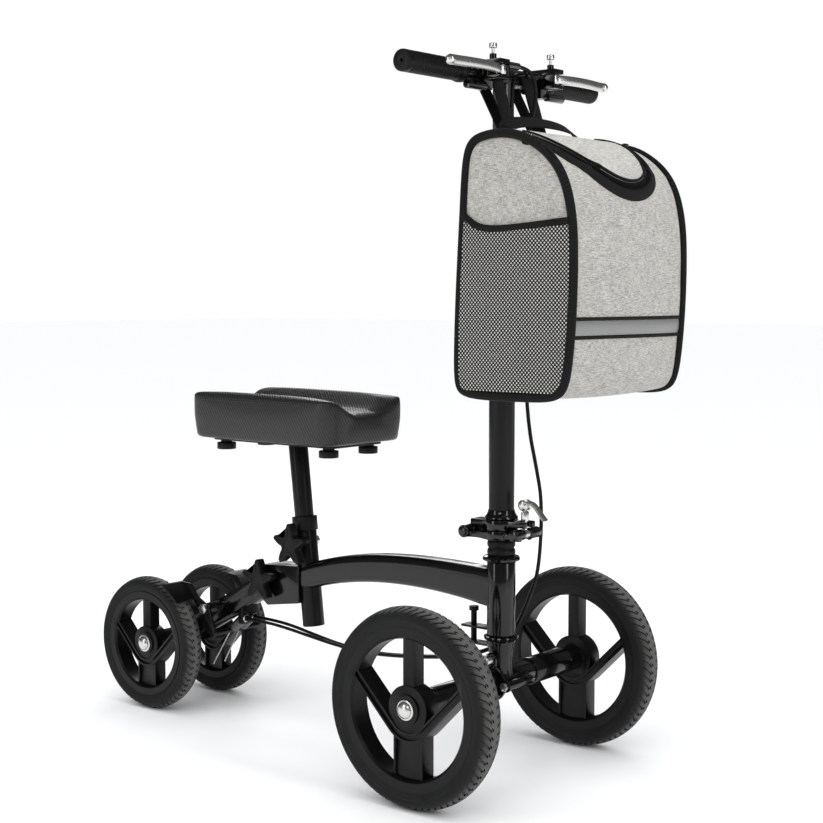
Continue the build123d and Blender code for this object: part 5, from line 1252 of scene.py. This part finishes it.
def grip(label, side):
    length, ribs = 118.0, 22
    pitch = (length - 26) / ribs
    profile = [(2.0, 4.0), (2.0, 0.4), (4.0, 0.0), (11.6, 0.0), (13.2, 1.0), (13.6, 3.2), (13.6, 10.0), (12.9, 11.0)]
    for rib in range(ribs):
        start = 12 + rib * pitch
        profile += [(12.9, start), (13.5, start + 0.8), (13.5, start + pitch - 1.6), (12.9, start + pitch - 0.8)]
    profile += [(12.9, length - 12), (14.4, length - 10), (15.0, length - 6), (14.6, length - 1.2), (13.4, length),
                (11.0, length), (11.0, 4.0), (2.0, 4.0)]
    bm = turned(profile, Vector((0, 0, 0)), "Y", 56)
    if side > 0:
        bmesh.ops.scale(bm, vec=(1, -1, 1), verts=bm.verts)
    low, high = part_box("grip_" + label)
    end = low.y if side < 0 else high.y
    bmesh.ops.translate(bm, vec=(STEER_X, end, (low.z + high.z) / 2), verts=bm.verts)
    bmesh.ops.recalc_face_normals(bm, faces=bm.faces)
    piece("grip_sleeve_" + label, bm, "handlebar", grip_rubber, ["grip_" + label], 40)


grip("right", -1)
grip("left", 1)

# %% [markdown]
# A brake blade is a pressed and chromed lever: wide where the fingers pull, with a ball at its tip
# so that a fall does not cut. A tube along the CAD blade's bow, squashed flat, gives the section.

# %% Brake levers
for side, label in ((-1, "right"), (1, "left")):
    softened("lever_body_" + label, 1.8, enamel)
    route = [(38, 58, 917), (45, 70, 917), (49, 90, 917), (50, 110, 917), (49, 132, 917), (46, 152, 917), (45, 166, 917)]
    bm = tube_mesh([at(x, side * y, z) for x, y, z in route], 3.0, sides=5, divisions=6)
    for vert in bm.verts:
        vert.co.z = 0.917 + (vert.co.z - 0.917) * 2.1
    tip = at(45, side * 168, 917)
    bmesh.ops.create_uvsphere(bm, u_segments=24, v_segments=16, radius=6.4 * MM, matrix=Matrix.Translation(tip))
    eye = turned([(3.1, -6.4), (6.4, -6.4), (7.2, -5.6), (7.2, 5.6), (6.4, 6.4), (3.1, 6.4), (3.1, -6.4)],
                 at(38, side * 58, 917), "Z", 32)
    spare = bpy.data.meshes.new("eye")
    eye.to_mesh(spare)
    eye.free()
    bm.from_mesh(spare)
    bpy.data.meshes.remove(spare)
    piece("blade_" + label, bm, "brake_lever_" + label, bright_plate, ["brake_blade_" + label], 50)
    softened("brake_arm_" + label, 0.5, satin_coat)

# %% [markdown]
# ## Finish
# The floor is one large plane just under the wheels.

# %% Floor
bm = bmesh.new()
bmesh.ops.create_grid(bm, x_segments=1, y_segments=1, size=30.0)
bmesh.ops.translate(bm, vec=(0, 0, CAD_BOX[0][2] - 0.0005), verts=bm.verts)
floor_mesh = bpy.data.meshes.new("floor")
bm.to_mesh(floor_mesh)
bm.free()
floor_mesh.materials.append(floor_paint)
floor = bpy.data.objects.new("floor", floor_mesh)
bpy.context.scene.collection.objects.link(floor)
